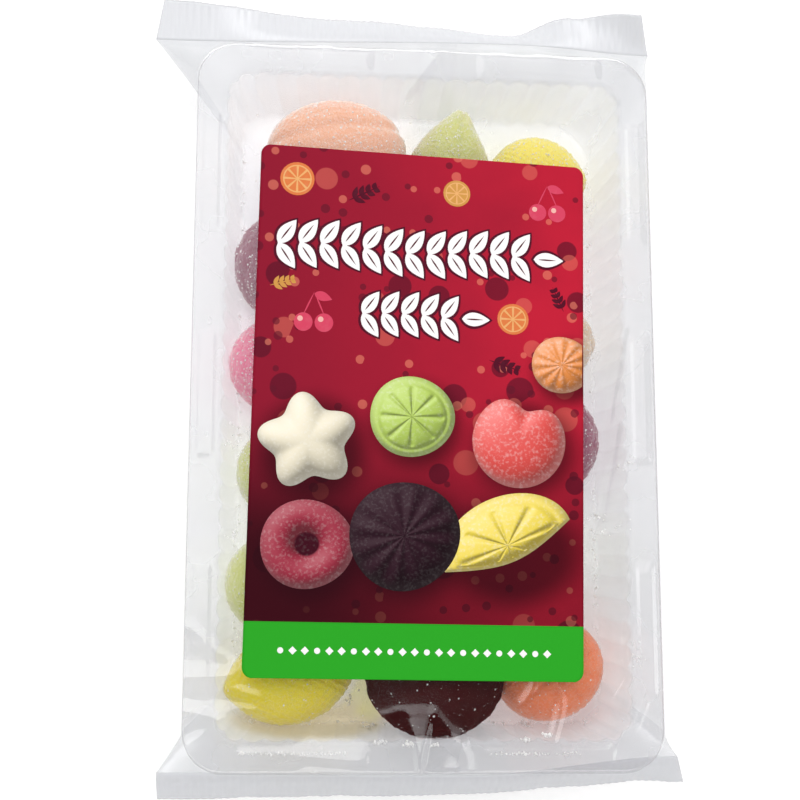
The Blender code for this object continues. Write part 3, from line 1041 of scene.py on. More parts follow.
def tray_tint_painted_light_and_shade(points):
    # Painted shade on the right side, fading out towards the far end
    shade = RIGHT_SHADE * soft_step(points[:, 0], 36, 50) * (1 - soft_step(points[:, 1], 76, 86))
    tint = TRAY_WHITE - shade[:, None]
    strength = TINT_SHARE * (1 - FAR_FADE * soft_step(points[:, 1], 84, 93))
    strength *= 1 - LEFT_FADE * soft_step(-points[:, 0], 50, 56)
    # Painted light: each near jelly's colour carried into the plastic
    for kind, x, y, turn, lean, length, width, height, grains in JELLIES:
        spin = math.radians(turn)
        along = (points[:, 0] - x) * math.cos(spin) + (points[:, 1] - y) * math.sin(spin)
        beside = (points[:, 1] - y) * math.cos(spin) - (points[:, 0] - x) * math.sin(spin)
        away = np.hypot(along / (length / 2), beside / (width / 2)) - 1
        share = (strength * bell(np.maximum(away, 0), TINT_REACH))[:, None]
        tint += (0.65 + 0.35 * np.sqrt(JELLY_KINDS[kind][1]) - tint) * share
    # Painted patches of coloured light and of shade
    for x, y, reach_x, reach_y, colour, share in TRAY_PAINTED_LIGHT_AND_SHADE:
        away = np.hypot((points[:, 0] - x) / reach_x, (points[:, 1] - y) / reach_y)
        tint += (np.array(colour) - tint) * share * (1 - soft_step(away, 0.7, 1.1))[:, None]
    # Painted shade: outside the cavity the flange is greyed
    in_cavity = 1 - soft_step(points[:, 2], 24, 25.5)[:, None]
    return FLANGE_PAINTED_SHADE + (tint - FLANGE_PAINTED_SHADE) * in_cavity


def store(piece, name, kind, values):
    """A value or vector for each point of a mesh, which a shader can read by its name."""
    attribute = piece.data.attributes.new(name, kind, "POINT")
    field = {"FLOAT": "value", "FLOAT_COLOR": "color", "FLOAT_VECTOR": "vector"}[kind]
    attribute.data.foreach_set(field, np.asarray(values, np.float32).ravel())


tints = tray_tint_painted_light_and_shade(tray_points.reshape(-1, 3))
store(tray, "tray_tint_painted_light_and_shade", "FLOAT_COLOR", np.column_stack([tints, np.ones(len(tints))]))
print("tray tint from", tints.min(axis=0).round(2), "to", tints.max(axis=0).round(2))

# %% [markdown]
# The crust's larger grains are crystals of sugar, each a small block that glints. They sit at
# random on the upper faces of the jellies, and more lie loose in the tray, in clumps where the
# pack was shaken and in a row along its lower edge. Thousands of tiny blocks are one mesh, which
# arrays make at once: one block's points, turned and scaled for each grain.

# %% Helpers for grains
OCTAHEDRON = np.array([(1, 0, 0), (-1, 0, 0), (0, 1, 0), (0, -1, 0), (0, 0, 1), (0, 0, -1)])
OCTAHEDRON_FACES = np.array([(0, 2, 4), (2, 1, 4), (1, 3, 4), (3, 0, 4),
                             (2, 0, 5), (1, 2, 5), (3, 1, 5), (0, 3, 5)])


def random_turns(count, random):
    """Turning matrices from random unit quaternions."""
    w, x, y, z = random.normal(size=(4, count))
    size = np.sqrt(w * w + x * x + y * y + z * z)
    w, x, y, z = w / size, x / size, y / size, z / size
    return np.array([[1 - 2 * (y * y + z * z), 2 * (x * y - z * w), 2 * (x * z + y * w)],
                     [2 * (x * y + z * w), 1 - 2 * (x * x + z * z), 2 * (y * z - x * w)],
                     [2 * (x * z - y * w), 2 * (y * z + x * w), 1 - 2 * (x * x + y * y)]]
                    ).transpose(2, 0, 1)


def make_grains(name, places, low, high, material, random):
    """One mesh of small crystals at the given places: many small ones and a few large."""
    sizes = (low + (high - low) * random.uniform(0, 1, (len(places), 1, 1)) ** 3) / 2
    stretch = random.uniform(0.7, 1.2, (len(places), 1, 3))
    turns = random_turns(len(places), random)
    corners = np.einsum("nij,nkj->nki", turns, OCTAHEDRON[None] * stretch * sizes)
    points = (corners + places[:, None]).reshape(-1, 3)
    starts = np.arange(len(places))[:, None, None] * len(OCTAHEDRON)
    faces = (OCTAHEDRON_FACES[None] + starts).reshape(-1, 3)
    add_piece(name, points, faces, [material], smooth=False)
    print(name, "has", len(places), "grains")


def places_on(points, faces, count, random):
    """Random places on a mesh's faces that look up or sideways."""
    corners = points[faces]
    crossed = np.cross(corners[:, 1] - corners[:, 0], corners[:, 2] - corners[:, 0])
    area = np.linalg.norm(crossed, axis=1)
    share = area * soft_step(crossed[:, 2] / area, -0.3, 0.3)
    chosen = random.choice(len(faces), count, p=share / share.sum())
    one, two = random.uniform(0, 1, (2, count, 1))
    over = one + two > 1
    one, two = np.where(over, 1 - one, one), np.where(over, 1 - two, two)
    first, second, third = corners[chosen].transpose(1, 0, 2)
    return first + (second - first) * one + (third - first) * two


# %% Sugar material
def make_sugar_material():
    """White crystals that let a little of what lies behind them through."""
    sugar, shader = new_material("sugar_crystals", (1, 0.99, 0.98), 0.3, IOR=1.56)
    tree = sugar.node_tree
    clear = add_node(tree, "ShaderNodeBsdfTransparent")
    body = mottle(tree, 700, 0.6, 0.95)
    show(tree, mix_shader(tree, body, clear.outputs[0], shader.outputs[0]))
    return sugar


# %% Sugar on the jellies and loose sugar
# Each heap of loose sugar: x, y, height, reach along x, reach along y, grains
SUGAR_HEAPS = (
    (0, 0, 2.5, 54, 92, 400), (-53.5, 0, 2.7, 0.8, 80, 90), (53.5, 0, 2.7, 0.8, 80, 90),
    (0, -92.3, 2.7, 50, 0.8, 90), (20, -62, 2.5, 3, 2, 60), (-20, -64, 2.5, 3, 3, 60),
    (-20, 28, 2.5, 3, 3, 50), (22, 60, 2.5, 3, 3, 50), (-3, 62, 2.5, 5, 3, 60),
    (-20, -86, 3, 1.6, 1.4, 24), (-14, -93.5, 4, 2.6, 1.4, 40), (32, -92.5, 4, 2.6, 1.2, 30),
    (-37.5, -100.1, 26.1, 15, 0.35, 75), (30.5, -100.3, 26.1, 13, 0.35, 60),
    (-13, -97.1, 25.9, 2, 0.7, 30), (-4.8, -97.6, 25.9, 1.8, 0.8, 26),
    (2.4, -97.8, 25.9, 1.4, 0.6, 16), (27.7, -96.4, 25.9, 1.6, 0.6, 20),
    (33.9, -95.4, 25.9, 1.4, 0.6, 16),
    (-54.2, -12.4, 25.9, 3, 5, 16), (-54.4, -40.4, 25.9, 2.4, 3, 12), (57.2, -18.4, 25.9, 3, 2, 10),
    (52.9, -36.4, 25.9, 6, 3, 12), (60.6, -74, 26, 2, 4.5, 16),
)


def heap_places(random):
    spots = []
    for x, y, height, reach_x, reach_y, count in SUGAR_HEAPS:
        spread = np.clip(random.normal(0, 0.5, (count, 2)), -1, 1) * (reach_x, reach_y)
        if max(reach_x, reach_y) > 10:
            spread = random.uniform(-1, 1, (count, 2)) * (reach_x, reach_y)
        level = height + random.uniform(0, 0.4 if height < 10 else 0.1, count)
        spots.append(np.column_stack([x + spread[:, 0], y + spread[:, 1], level]))
    return np.concatenate(spots)


sugar_material = make_sugar_material()
random = np.random.default_rng(8)
crust_places = np.concatenate([places_on(points, ball_faces, grains, random)
                               for kind, points, grains in shapes])
make_grains("sugar_crust", crust_places, 0.22, 0.85, sugar_material, random)
make_grains("loose_sugar", heap_places(random), 0.45, 1.25, sugar_material, random)

# %% [markdown]
# The label is a printed sticker on top of the bag. It is a thin sheet that follows the film in
# very slight waves, and it was stuck on askew, pulled a little out of square at both ends. All
# that is printed on it lies on the same waves, so one function gives the place of any point of
# the label, from its own coordinates in millimetres, u to the right and v up.

# %% Place points on the label
LABEL_WIDTH = 95.6
LABEL_LENGTH = 151.8
LABEL_CORNER = 3
LABEL_TURN = math.radians(-1.1)
LABEL_SURFACE = 0.2
UPPER_SKEW = 1.15
UPPER_PULL = 0.45
LOWER_SKEW = 0.4
LOWER_PULL = 0.35
label_middle = (label_points.min(axis=0) + label_points.max(axis=0)) / 2 - tray_middle
label_level = rim_height + LABEL_GAP + LABEL_SURFACE


def on_label(u, v, lift):
    """Points of the label, a little above its printed face."""
    u, v = np.broadcast_arrays(np.asarray(u, float), np.asarray(v, float))
    share = u / (LABEL_WIDTH / 2)
    v = v + (UPPER_PULL - UPPER_SKEW * share) * soft_step(v, -20, LABEL_LENGTH / 2)
    v = v - (LOWER_PULL - LOWER_SKEW * share) * soft_step(-v, 0, LABEL_LENGTH / 2)
    x = label_middle[0] + u * math.cos(LABEL_TURN) - v * math.sin(LABEL_TURN)
    y = label_middle[1] + u * math.sin(LABEL_TURN) + v * math.cos(LABEL_TURN)
    wave = 0.045 * ripples(u, v, 46, 51) + 0.012 * ripples(u, v, 13, 52)
    return np.stack([x, y, label_level + wave + lift], axis=-1)


# %% Sheet of the label
SHEET_COLUMNS = 96
SHEET_ROWS = 152
CORNER_ROWS = 8
SHEET_THICKNESS = 0.14
half_width, half_length = LABEL_WIDTH / 2, LABEL_LENGTH / 2
corner_angles = np.linspace(0, math.pi / 2, CORNER_ROWS + 1)[:-1]
corner_v = half_length - LABEL_CORNER * (1 - np.sin(corner_angles))[::-1]
straight_v = np.linspace(LABEL_CORNER - half_length, half_length - LABEL_CORNER, SHEET_ROWS)
sheet_v = np.sort(np.concatenate([-corner_v, straight_v[1:-1], corner_v]))
into_corner = np.maximum(np.abs(sheet_v) - (half_length - LABEL_CORNER), 0)
cut = LABEL_CORNER - np.sqrt(np.maximum(LABEL_CORNER ** 2 - into_corner ** 2, 0))
sheet_u = np.linspace(-1, 1, SHEET_COLUMNS + 1)[None] * (half_width - cut)[:, None]
sheet_v = np.broadcast_to(sheet_v[:, None], sheet_u.shape)
print("label sheet:", sheet_u.shape)

# %% [markdown]
# The print is fields of colour: crimson that darkens towards the lower left, layers of pale and
# dark round spots, and a green band at the foot. The spots are cells of a Voronoi texture: a
# cell's distance makes the disc, and its random colour says if that disc shows. The shader reads
# the label's own millimetres from an attribute on the mesh, so that nothing slides over it.

# %% Shader group for printed spots
def make_spots_group():
    group, source, target = new_group(
        "printed_spots", [("Place", "Vector"), ("Spacing", "Float"), ("Radius", "Float"),
                          ("Rarity", "Float")], [("Mask", "Float")])
    pace = math_node(group, "DIVIDE", 1.0, source["Spacing"])
    cells = add_node(group, "ShaderNodeTexVoronoi",
                     [("Vector", source["Place"]), ("Scale", pace), ("Randomness", 0.9)],
                     voronoi_dimensions="2D")
    parts = add_node(group, "ShaderNodeSeparateColor",
                     [("Color", cells.outputs["Color"])]).outputs
    size = map_range(group, parts["Green"], 0, 1, 0.55, 1)
    reach = math_node(group, "MULTIPLY", source["Radius"], size)
    soft = math_node(group, "MULTIPLY", reach, 0.93)
    disc = map_range(group, cells.outputs["Distance"], soft, reach, 1, 0)
    chosen = math_node(group, "GREATER_THAN", parts["Red"], source["Rarity"])
    group.links.new(math_node(group, "MULTIPLY", disc, chosen), target["Mask"])
    return group


spots_group = make_spots_group()

# %% Label material
CRIMSON = (0.53, 0.014, 0.038, 1)
PLUM = (0.27, 0.009, 0.028, 1)
NIGHT = (0.026, 0.0022, 0.006, 1)
BAND_GREEN = (0.026, 0.38, 0.02, 1)
BAND_TOP = -60.4
# Each layer of spots: colour, strength, spacing, radius as a share of the spacing, rarity, shift
SPOT_LAYERS = (((0.10, 0.006, 0.02, 1), 0.75, 17, 0.27, 0.5, 3.1),
               ((0.75, 0.16, 0.12, 1), 0.4, 14, 0.27, 0.55, 7.7),
               ((0.86, 0.24, 0.16, 1), 0.42, 6.8, 0.24, 0.8, 1.9),
               ((0.12, 0.008, 0.022, 1), 0.7, 6.2, 0.24, 0.78, 9.2))


def printed_spots(tree, place, spacing, radius, rarity, shift):
    moved = add_node(tree, "ShaderNodeVectorMath", [(0, place), (1, (shift, shift * 1.7, 0))],
                     operation="ADD")
    spots = add_node(tree, "ShaderNodeGroup", [("Place", moved.outputs[0])],
                     node_tree=spots_group)
    for name, value in (("Spacing", spacing), ("Radius", radius), ("Rarity", rarity)):
        spots.inputs[name].default_value = value
    return spots.outputs["Mask"]


def make_label_material():
    paper, shader = new_material("printed_label", CRIMSON[:3], 0.42, Specular_IOR_Level=0.04)
    tree = paper.node_tree
    place = add_node(tree, "ShaderNodeAttribute", attribute_name="label_place").outputs["Vector"]
    shade = add_node(tree, "ShaderNodeAttribute", attribute_name="label_shade").outputs["Fac"]
    axis = add_node(tree, "ShaderNodeSeparateXYZ", [(0, place)]).outputs
    rightward = map_range(tree, axis["X"], -50, 42, interpolation_type="SMOOTHSTEP")
    colour = mix_colour(tree, rightward, PLUM, CRIMSON)
    cloud = mottle(tree, 32, 0.0, 0.5)
    colour = mix_colour(tree, cloud, colour, PLUM)
    for spot, strength, spacing, radius, rarity, shift in SPOT_LAYERS:
        mask = printed_spots(tree, place, spacing, radius, rarity, shift)
        colour = mix_colour(tree, math_node(tree, "MULTIPLY", mask, strength), colour, spot)
    colour = mix_colour(tree, shade, colour, NIGHT)
    band = math_node(tree, "LESS_THAN", axis["Y"], BAND_TOP)
    colour = mix_colour(tree, band, colour, BAND_GREEN)
    tree.links.new(colour, shader.inputs["Base Color"])
    fine_bump(tree, shader, 900, 0.12, 0.0002)
    return paper


# %% [markdown]
# The lower half of the print shows seven sweets that lie on a dark, softly shaded ground. Where
# each one lies is listed once, because both the shade under it and the sweet itself need it. The
# shade is worked out for each point of the sheet and stored with it.

# %% Printed sweets, where they lie
# Each sweet: form, middle u, v, half width, half height, turn in degrees, colour, relief
PRINTED_SWEETS = (
    ("round", -2, -2, 12.2, 11.6, 0, (0.45, 0.62, 0.09), "slices"),
    ("heart", 29, -8, 14.5, 13, -14, (0.78, 0.045, 0.035), "plain"),
    ("star", -31.5, -10, 14.5, 14, 10, (0.83, 0.76, 0.58), "plain"),
    ("half", 26, -38, 19.5, 14, 24, (0.85, 0.66, 0.03), "slices"),
    ("ring", -31, -39, 13.2, 12.4, 0, (0.34, 0.01, 0.04), "plain"),
    ("round", -3.5, -36, 15.8, 15.2, 20, (0.028, 0.005, 0.014), "ridges"),
    ("round", 41.5, 15, 9, 8.4, 0, (0.8, 0.24, 0.02), "ridges"),
)


def label_shade(u, v):
    """How dark the ground is: night at the lower left, and a soft shade under each sweet."""
    ground = soft_step(-v, -6, 42) * (0.52 + 0.46 * soft_step(-u, -46, 34))
    lit = ground * 0.95
    for form, middle_u, middle_v, wide, tall, turn, colour, relief in PRINTED_SWEETS:
        away = np.hypot((u - middle_u - 1.5) / (wide + 2.5), (v - middle_v + 2.2) / (tall + 2.5))
        lit = lit + (1 - lit) * 0.75 * (1 - soft_step(away, 0.6, 1.15))
    return lit


# %% Make the label
label_material = make_label_material()
sheet_points = on_label(sheet_u, sheet_v, 0)
label_sheet = add_piece("label_sheet", sheet_points.reshape(-1, 3), grid_faces(*sheet_u.shape),
                        [label_material])
flat_place = np.stack([sheet_u, sheet_v, np.zeros_like(sheet_u)], axis=-1)
store(label_sheet, "label_place", "FLOAT_VECTOR", flat_place)
store(label_sheet, "label_shade", "FLOAT", label_shade(sheet_u, sheet_v))
thickness = label_sheet.modifiers.new("paper_thickness", "SOLIDIFY")
thickness.thickness = SHEET_THICKNESS * MM
thickness.offset = -1
print("label sheet lies between %.2f and %.2f mm"
      % (sheet_points[..., 2].min(), sheet_points[..., 2].max()))

# %% [markdown]
# The sweets in the print are flat, but they look round, because the shading is printed too. Each
# is a disc of rings and spokes that lies on the label. Its colours are worked out from the height
# that such a sweet would have: the slope of that height gives the light and the dark side. So the
# colours belong to the mesh, and the shader only adds grain.

# %% Outlines and heights of printed sweets
SPOKES = 120
RINGS = 26
PRINT_LIGHT = np.array([-0.42, 0.55, 0.72])


def sweet_outline(form, angle):
    """Distance from the middle to the edge, as a share of the half size."""
    if form == "heart":
        lean = angle - math.pi / 2
        return 0.93 * (1 - 0.36 * bell(np.sin(lean / 2), 0.19) + 0.12 * np.cos(lean) ** 2)
    if form == "star":
        return 0.86 + 0.14 * np.cos(5 * (angle - math.pi / 2))
    if form == "half":
        return np.where(np.sin(angle) > 0, 1, 1 / (1 + 1.9 * np.abs(np.sin(angle))))
    return 1 + 0.015 * np.cos(3 * angle)


def sweet_height(form, relief, share, angle):
    height = np.sqrt(np.clip(1 - share ** 2.6, 0, 1)) * 0.75
    if form == "ring":
        height = np.sqrt(np.clip(1 - ((share - 0.64) / 0.37) ** 2, 0, 1)) * 0.5
    if relief == "slices":
        height = height - 0.1 * np.abs(np.cos(angle * 4)) ** 16 * (1 - soft_step(share, 0.7, 0.8))
        height = height - 0.08 * bell(share - 0.82, 0.04)
    if relief == "ridges":
        height = height + 0.06 * np.cos(angle * 12) * share
    return height


def sweet_colours(u, v, height, colour, form, share):
    """The printed shading: a light and a dark side, a sugary bloom and a pale edge."""
    place = np.stack([u, v, height], axis=-1)
    around = np.roll(place, -1, axis=1) - np.roll(place, 1, axis=1)
    outward = np.gradient(place, axis=0)
    slope = np.cross(outward, around)
    slope /= np.maximum(np.linalg.norm(slope, axis=-1, keepdims=True), 1e-6)
    light = PRINT_LIGHT / np.linalg.norm(PRINT_LIGHT)
    lit = np.clip(slope @ light, 0, 1)[..., None]
    shaded = np.array(colour) * (0.35 + 0.85 * lit)
    bloom = 0.05 + 0.28 * lit ** 5 + 0.10 * soft_step(share, 0.75, 1)[..., None]
    bloom = bloom * (0.06 + 0.94 * max(colour))
    shaded = shaded + (np.array([0.9, 0.86, 0.84]) - shaded) * bloom
    if form == "ring":
        hole = (1 - soft_step(share, 0.24, 0.3))[..., None]
        shaded = shaded * (1 - hole) + np.array([0.05, 0.004, 0.012]) * hole
    return shaded


# %% Make the printed sweets
def printed_sweet(form, middle_u, middle_v, wide, tall, turn, colour, relief):
    angle = np.linspace(0, 2 * math.pi, SPOKES, endpoint=False)[None]
    share = np.linspace(0.012, 1, RINGS)[:, None] ** 0.8
    reach = share * sweet_outline(form, angle)
    across, along = wide * reach * np.cos(angle), tall * reach * np.sin(angle)
    share = share * np.ones_like(angle)
    height = sweet_height(form, relief, share, angle) * min(wide, tall)
    tilt = math.radians(turn)
    u = middle_u + across * math.cos(tilt) - along * math.sin(tilt)
    v = middle_v + across * math.sin(tilt) + along * math.cos(tilt)
    return u, v, sweet_colours(u, v, height, colour, form, share)


def make_ink_material(name, roughness, grain_scale, grain):
    """Ink whose colour is stored on the mesh, with a fine printed or sugary grain."""
    ink, shader = new_material(name, (0.5, 0.5, 0.5), roughness, Specular_IOR_Level=0.04)
    tree = ink.node_tree
    colour = add_node(tree, "ShaderNodeAttribute", attribute_name="print_colour").outputs["Color"]
    strength = add_node(tree, "ShaderNodeSeparateColor", [("Color", colour)]).outputs["Red"]
    paler = math_node(tree, "ADD", strength, 0.05)
    white = math_node(tree, "MULTIPLY", mottle(tree, grain_scale, -grain, grain), paler)
    colour = mix_colour(tree, white, colour, (0.92, 0.9, 0.88, 1))
    tree.links.new(colour, shader.inputs["Base Color"])
    return ink


SWEET_LIFT = 0.03
SWEET_STEP = 0.006
SWEET_MARGIN = 0.35
sweet_points, sweet_faces, sweet_tints = [], [], []
disc_faces = [tuple(face) for face in grid_faces(RINGS, SPOKES, closed=True)]
disc_faces.append(tuple(range(SPOKES))[::-1])
for step, sweet in enumerate(PRINTED_SWEETS):
    u, v, tints = printed_sweet(*sweet)
    start = step * RINGS * SPOKES
    u = np.clip(u, SWEET_MARGIN - half_width, half_width - SWEET_MARGIN)
    sweet_points.append(on_label(u, v, SWEET_LIFT + SWEET_STEP * step).reshape(-1, 3))
    sweet_faces += [tuple(corner + start for corner in face) for face in disc_faces]
    sweet_tints.append(tints.reshape(-1, 3))
label_sweets = add_piece("label_sweets", np.concatenate(sweet_points), sweet_faces,
                         [make_ink_material("sweet_ink", 0.36, 1300, 0.30)])
tints = np.concatenate(sweet_tints)
store(label_sweets, "print_colour", "FLOAT_COLOR", np.column_stack([tints, np.ones(len(tints))]))
print("printed sweets:", len(PRINTED_SWEETS))

# %% [markdown]
# The rest of the print is flat ink: a white garland of leaves with a dark outline, a few small
# fruits and sprigs in warm colours, and a row of small marks in the green band. Each motif is a
# handful of simple outlines. An outline is pushed out a little for the dark edge under it, and
# every layer lies a hair above the last, the way inks do.

# %% Outlines of the flat motifs
LEAF_POINTS = 14
WEDGE_POINTS = 10


def circle(radius, count=28):
    angle = np.linspace(0, 2 * math.pi, count, endpoint=False)
    return np.stack([radius * np.cos(angle), radius * np.sin(angle)], axis=1)


def leaf(length, width):
    """A pointed leaf that grows along +u from its stalk."""
    share = np.linspace(0, 1, LEAF_POINTS)
    edge = width / 2 * np.sin(math.pi * share ** 0.8) ** 0.9
    upper = np.stack([share * length, edge], axis=1)
    return np.concatenate([upper, (upper * (1, -1))[-2:0:-1]])


def wedge(radius, start, end):
    """A slice of a citrus wheel, from near its middle out to the rim."""
    angle = np.linspace(start, end, WEDGE_POINTS)
    rim = np.stack([radius * np.cos(angle), radius * np.sin(angle)], axis=1)
    middle = (start + end) / 2
    return np.concatenate([rim, [(0.12 * radius * math.cos(middle),
                                  0.12 * radius * math.sin(middle))]])


def moved(outline, u, v, turn=0.0):
    cosine, sine = math.cos(turn), math.sin(turn)
    spun = outline @ np.array([(cosine, sine), (-sine, cosine)])
    return spun + (u, v)


# %% Collect flat motifs in layers
WHITE_INK = (0.93, 0.92, 0.91)
DARK_INK = (0.09, 0.006, 0.02)
ORANGE_INK = (0.72, 0.2, 0.06)
GOLD_INK = (0.62, 0.3, 0.07)
ROSE_INK = (0.66, 0.06, 0.12)
INK_STEP = 0.012
motifs = []


def print_shape(outline, colour, layer):
    motifs.append((outline, colour, layer))


def outlined_leaf(u, v, turn, length, width, edge):
    """A white leaf with a midrib on a slightly larger dark one."""
    outer = leaf(length + 2 * edge, width + 2 * edge) - (edge, 0)
    print_shape(moved(outer, u, v, turn), DARK_INK, 1)
    print_shape(moved(leaf(length, width), u, v, turn), WHITE_INK, 2)
    print_shape(moved(leaf(length * 0.62, 0.45) + (length * 0.16, 0), u, v, turn), DARK_INK, 3)


def garland(start, end, level, rise, leaves, size):
    """A wavy row of pairs of leaves, with one last leaf at its end."""
    for step in range(leaves):
        u = start + (end - start) * step / leaves
        v = level + rise * math.sin(step * 0.8)
        for side in (-1, 1):
            outlined_leaf(u, v, side * 0.95, size, size * 0.5, 0.8)
    outlined_leaf(end, level, 0, size, size * 0.5, 0.8)


garland(-42, 33, 46.5, 0.7, 12, 8.8)
garland(-17, 12, 27.3, 0.5, 5, 8.2)


# %% Small fruits, sprigs and marks
MARKS = 23
MARK_START = -37.4
MARK_PITCH = 3.4
MARK_LEVEL = -68.2


def citrus_wheel(u, v, radius, colour):
    print_shape(moved(circle(radius), u, v), colour, 1)
    print_shape(moved(circle(radius * 0.84), u, v), (0.80, 0.42, 0.16), 2)
    for step in range(8):
        start = step * math.pi / 4 + 0.09
        print_shape(moved(wedge(radius * 0.76, start, start + math.pi / 4 - 0.18), u, v), colour, 3)


def sprig(u, v, turn, size, colour):
    print_shape(moved(leaf(size * 2.4, size * 0.12), u, v, turn), colour, 1)
    for step in range(4):
        along = size * (0.4 + 0.5 * step)
        for side in (-1, 1):
            place = moved(np.array([(along, 0)]), u, v, turn)[0]
            print_shape(moved(leaf(size * (0.85 - 0.12 * step), size * 0.36), *place,
                              turn + side * 0.8), colour, 2)


def cherries(u, v, size, colour):
    for side in (-1, 1):
        print_shape(moved(circle(size), u + side * size * 1.1, v), colour, 1)
        print_shape(moved(circle(size * 0.3, 12), u + side * size * 1.1 - size * 0.35,
                          v + size * 0.35), (0.85, 0.45, 0.4), 2)
        print_shape(moved(leaf(size * 2.7, size * 0.16), u + side * size * 1.1, v + size * 0.8,
                          math.pi / 2 + side * 0.42), colour, 2)
    print_shape(moved(leaf(size * 2, size), u, v + size * 3.1, -0.3), colour, 2)


citrus_wheel(-37, 66, 5, ORANGE_INK)
citrus_wheel(27, 28, 4.6, ORANGE_INK)
cherries(-31, 24, 2.7, ROSE_INK)
cherries(37, 61, 2.6, ROSE_INK)
sprig(-22, 60.5, 0.5, 4.4, DARK_INK)
sprig(42, 31, 2.0, 3.4, DARK_INK)
sprig(-44, 34, 0.3, 3.4, GOLD_INK)
citrus_wheel(10, 65, 4, GOLD_INK)
sprig(20, 15.5, -0.3, 4.2, DARK_INK)
for step in range(MARKS):
    mark = circle(1.15, 4) if step % 3 else circle(0.85, 16)
    print_shape(moved(mark, MARK_START + MARK_PITCH * step, MARK_LEVEL), WHITE_INK, 1)

# %% Make the flat motifs
MOTIF_LIFT = 0.02
motif_points, motif_faces, motif_tints = [], [], []
for outline, colour, layer in motifs:
    first = sum(len(points) for points in motif_points)
    motif_points.append(on_label(outline[:, 0], outline[:, 1], MOTIF_LIFT + INK_STEP * layer))
    motif_faces.append(tuple(range(first, first + len(outline))))
    motif_tints.append(np.tile((*colour, 1), (len(outline), 1)))
label_motifs = add_piece("label_motifs", np.concatenate(motif_points), motif_faces,
                         [make_ink_material("flat_ink", 0.36, 500, 0.04)], smooth=False)
store(label_motifs, "print_colour", "FLOAT_COLOR", np.concatenate(motif_tints))
print("flat motifs:", len(motifs), "outlines")

# %% [markdown]
# The photograph looks down at the pack from a little below it and left of it. The camera was
# worked out from the tray's rim, the beads and the label, taken as a true rectangle. Its place is
# given in millimetres from the tray's middle, and its turns about the three axes in degrees.

# %% Camera
CAMERA_PLACE = (-51.17, -82.56, 466.42)
CAMERA_TURNS = (10.47, -5.56, 1.09)
CAMERA_LENS = 70.6
view = bpy.data.cameras.new("view")
view.lens = CAMERA_LENS
view.sensor_width = 36
camera = bpy.data.objects.new("view", view)
tilt, yaw, roll = (math.radians(turn) for turn in CAMERA_TURNS)
camera.matrix_world = (Matrix.Translation((np.array(CAMERA_PLACE) + tray_middle) * MM)
                       @ Matrix.Rotation(tilt, 4, "X") @ Matrix.Rotation(yaw, 4, "Y")
                       @ Matrix.Rotation(roll, 4, "Z"))
bpy.context.scene.collection.objects.link(camera)
bpy.context.scene.camera = camera
print("camera at", [round(value, 3) for value in camera.matrix_world.translation])

# %% [markdown]
# The light is a few soft boxes side by side, a metre above the pack. Clear film shows mostly what
# it mirrors, so each box is placed where one part of the film mirrors it. Those above and left of
# the middle give the white veil over the upper sweets, and the others light the film's far bend,
# its near end and its folds at the right. Elsewhere the film mirrors a dark ceiling and stays
# clear. Film and tray cast no shadow, because such thin, clear sheets take hardly any light.

# %% Soft boxes and room light
ROOM_GREY = 0.57
ROOM_DARK = 0.02
OVERHEAD_LOW = 0.55
OVERHEAD_HIGH = 0.9
BOX_HEIGHT = 1026
# Each soft box: name, middle x and y, size along x and y, brightness
SOFT_BOXES = (("upper_box", 235, 470, 230, 860, 0.95), ("left_box", -165, 440, 570, 920, 1.8),
              ("lower_box", 0, -1050, 1200, 700, 1.25), ("back_box", 0, 1500, 1600, 900, 4.4),
              ("right_box", 760, -150, 480, 500, 1.4))


def soft_box(name, x, y, size_x, size_y, brightness):
    """An area light facing down, with its brightness as radiance, whatever its size."""
    light = bpy.data.lights.new(name, "AREA")
    light.shape = "RECTANGLE"
    light.size, light.size_y = size_x * MM, size_y * MM
    light.energy = brightness * math.pi * light.size * light.size_y
    lamp = bpy.data.objects.new(name, light)
    lamp.location = (np.array((x, y, BOX_HEIGHT)) + tray_middle) * MM
    bpy.context.scene.collection.objects.link(lamp)


for box in SOFT_BOXES:
    soft_box(*box)
print("soft boxes:", len(SOFT_BOXES))


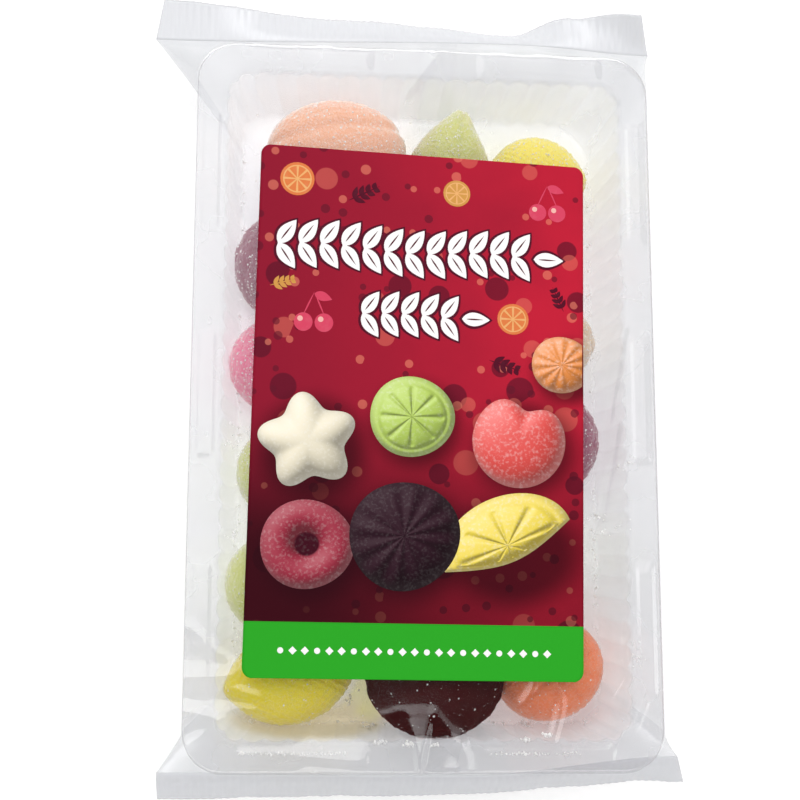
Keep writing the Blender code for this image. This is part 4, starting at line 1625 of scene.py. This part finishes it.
def make_room():
    """A room that looks white to the camera, calm grey for light, and dark overhead in mirrors."""
    world = bpy.data.worlds.new("room")
    world.use_nodes = True
    tree = world.node_tree
    path = add_node(tree, "ShaderNodeLightPath").outputs
    heading = add_node(tree, "ShaderNodeTexCoord").outputs["Generated"]
    height = add_node(tree, "ShaderNodeSeparateXYZ", [(0, heading)]).outputs["Z"]
    overhead = map_range(tree, height, OVERHEAD_LOW, OVERHEAD_HIGH)
    dark = math_node(tree, "MULTIPLY", overhead, path["Is Glossy Ray"])
    calm = map_range(tree, dark, 0, 1, ROOM_GREY, ROOM_DARK)
    seen = add_node(tree, "ShaderNodeMix", [(0, path["Is Camera Ray"]), (2, calm), (3, 1.0)],
                    data_type="FLOAT")
    shade = add_node(tree, "ShaderNodeCombineColor",
                     [(channel, seen.outputs[0]) for channel in ("Red", "Green", "Blue")])
    tree.links.new(shade.outputs[0], tree.nodes["Background"].inputs["Color"])
    return world


scene = bpy.context.scene
scene.world = make_room()
scene.view_settings.view_transform = "Standard"
scene.cycles.transparent_max_bounces = 48
scene.cycles.max_bounces = 14

# %% [markdown]
# The pack lies on a white light board, as in many product photos. The board gives light of its
# own, so it looks pure white, and it shines up through the clear tray between the jellies.

# %% Floor
FLOOR_SIZE = 6
FLOOR_GREY = 0.58
FLOOR_GLOW = 0.47
bpy.ops.mesh.primitive_plane_add(size=FLOOR_SIZE)
floor = bpy.context.object
floor.name = "floor"
floor_material, floor_shader = new_material("white_board", (FLOOR_GREY,) * 3, 0.9,
                                            Emission_Strength=FLOOR_GLOW)
floor_shader.inputs["Emission Color"].default_value = (1, 1, 1, 1)
floor.data.materials.append(floor_material)

# %% [markdown]
# Last, every piece is told what it belongs to. The whole pack is one body, so all of them ride on
# it. The film and everything in it stand for the closed solid of the bag, and the printed sheets
# stand for the solid of the label.

# %% Tie the pieces to the frame
printed = (label_sheet, label_sweets, label_motifs)
for piece in pieces:
    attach(piece, "root")
    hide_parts("label" if piece in printed else "film_pack")
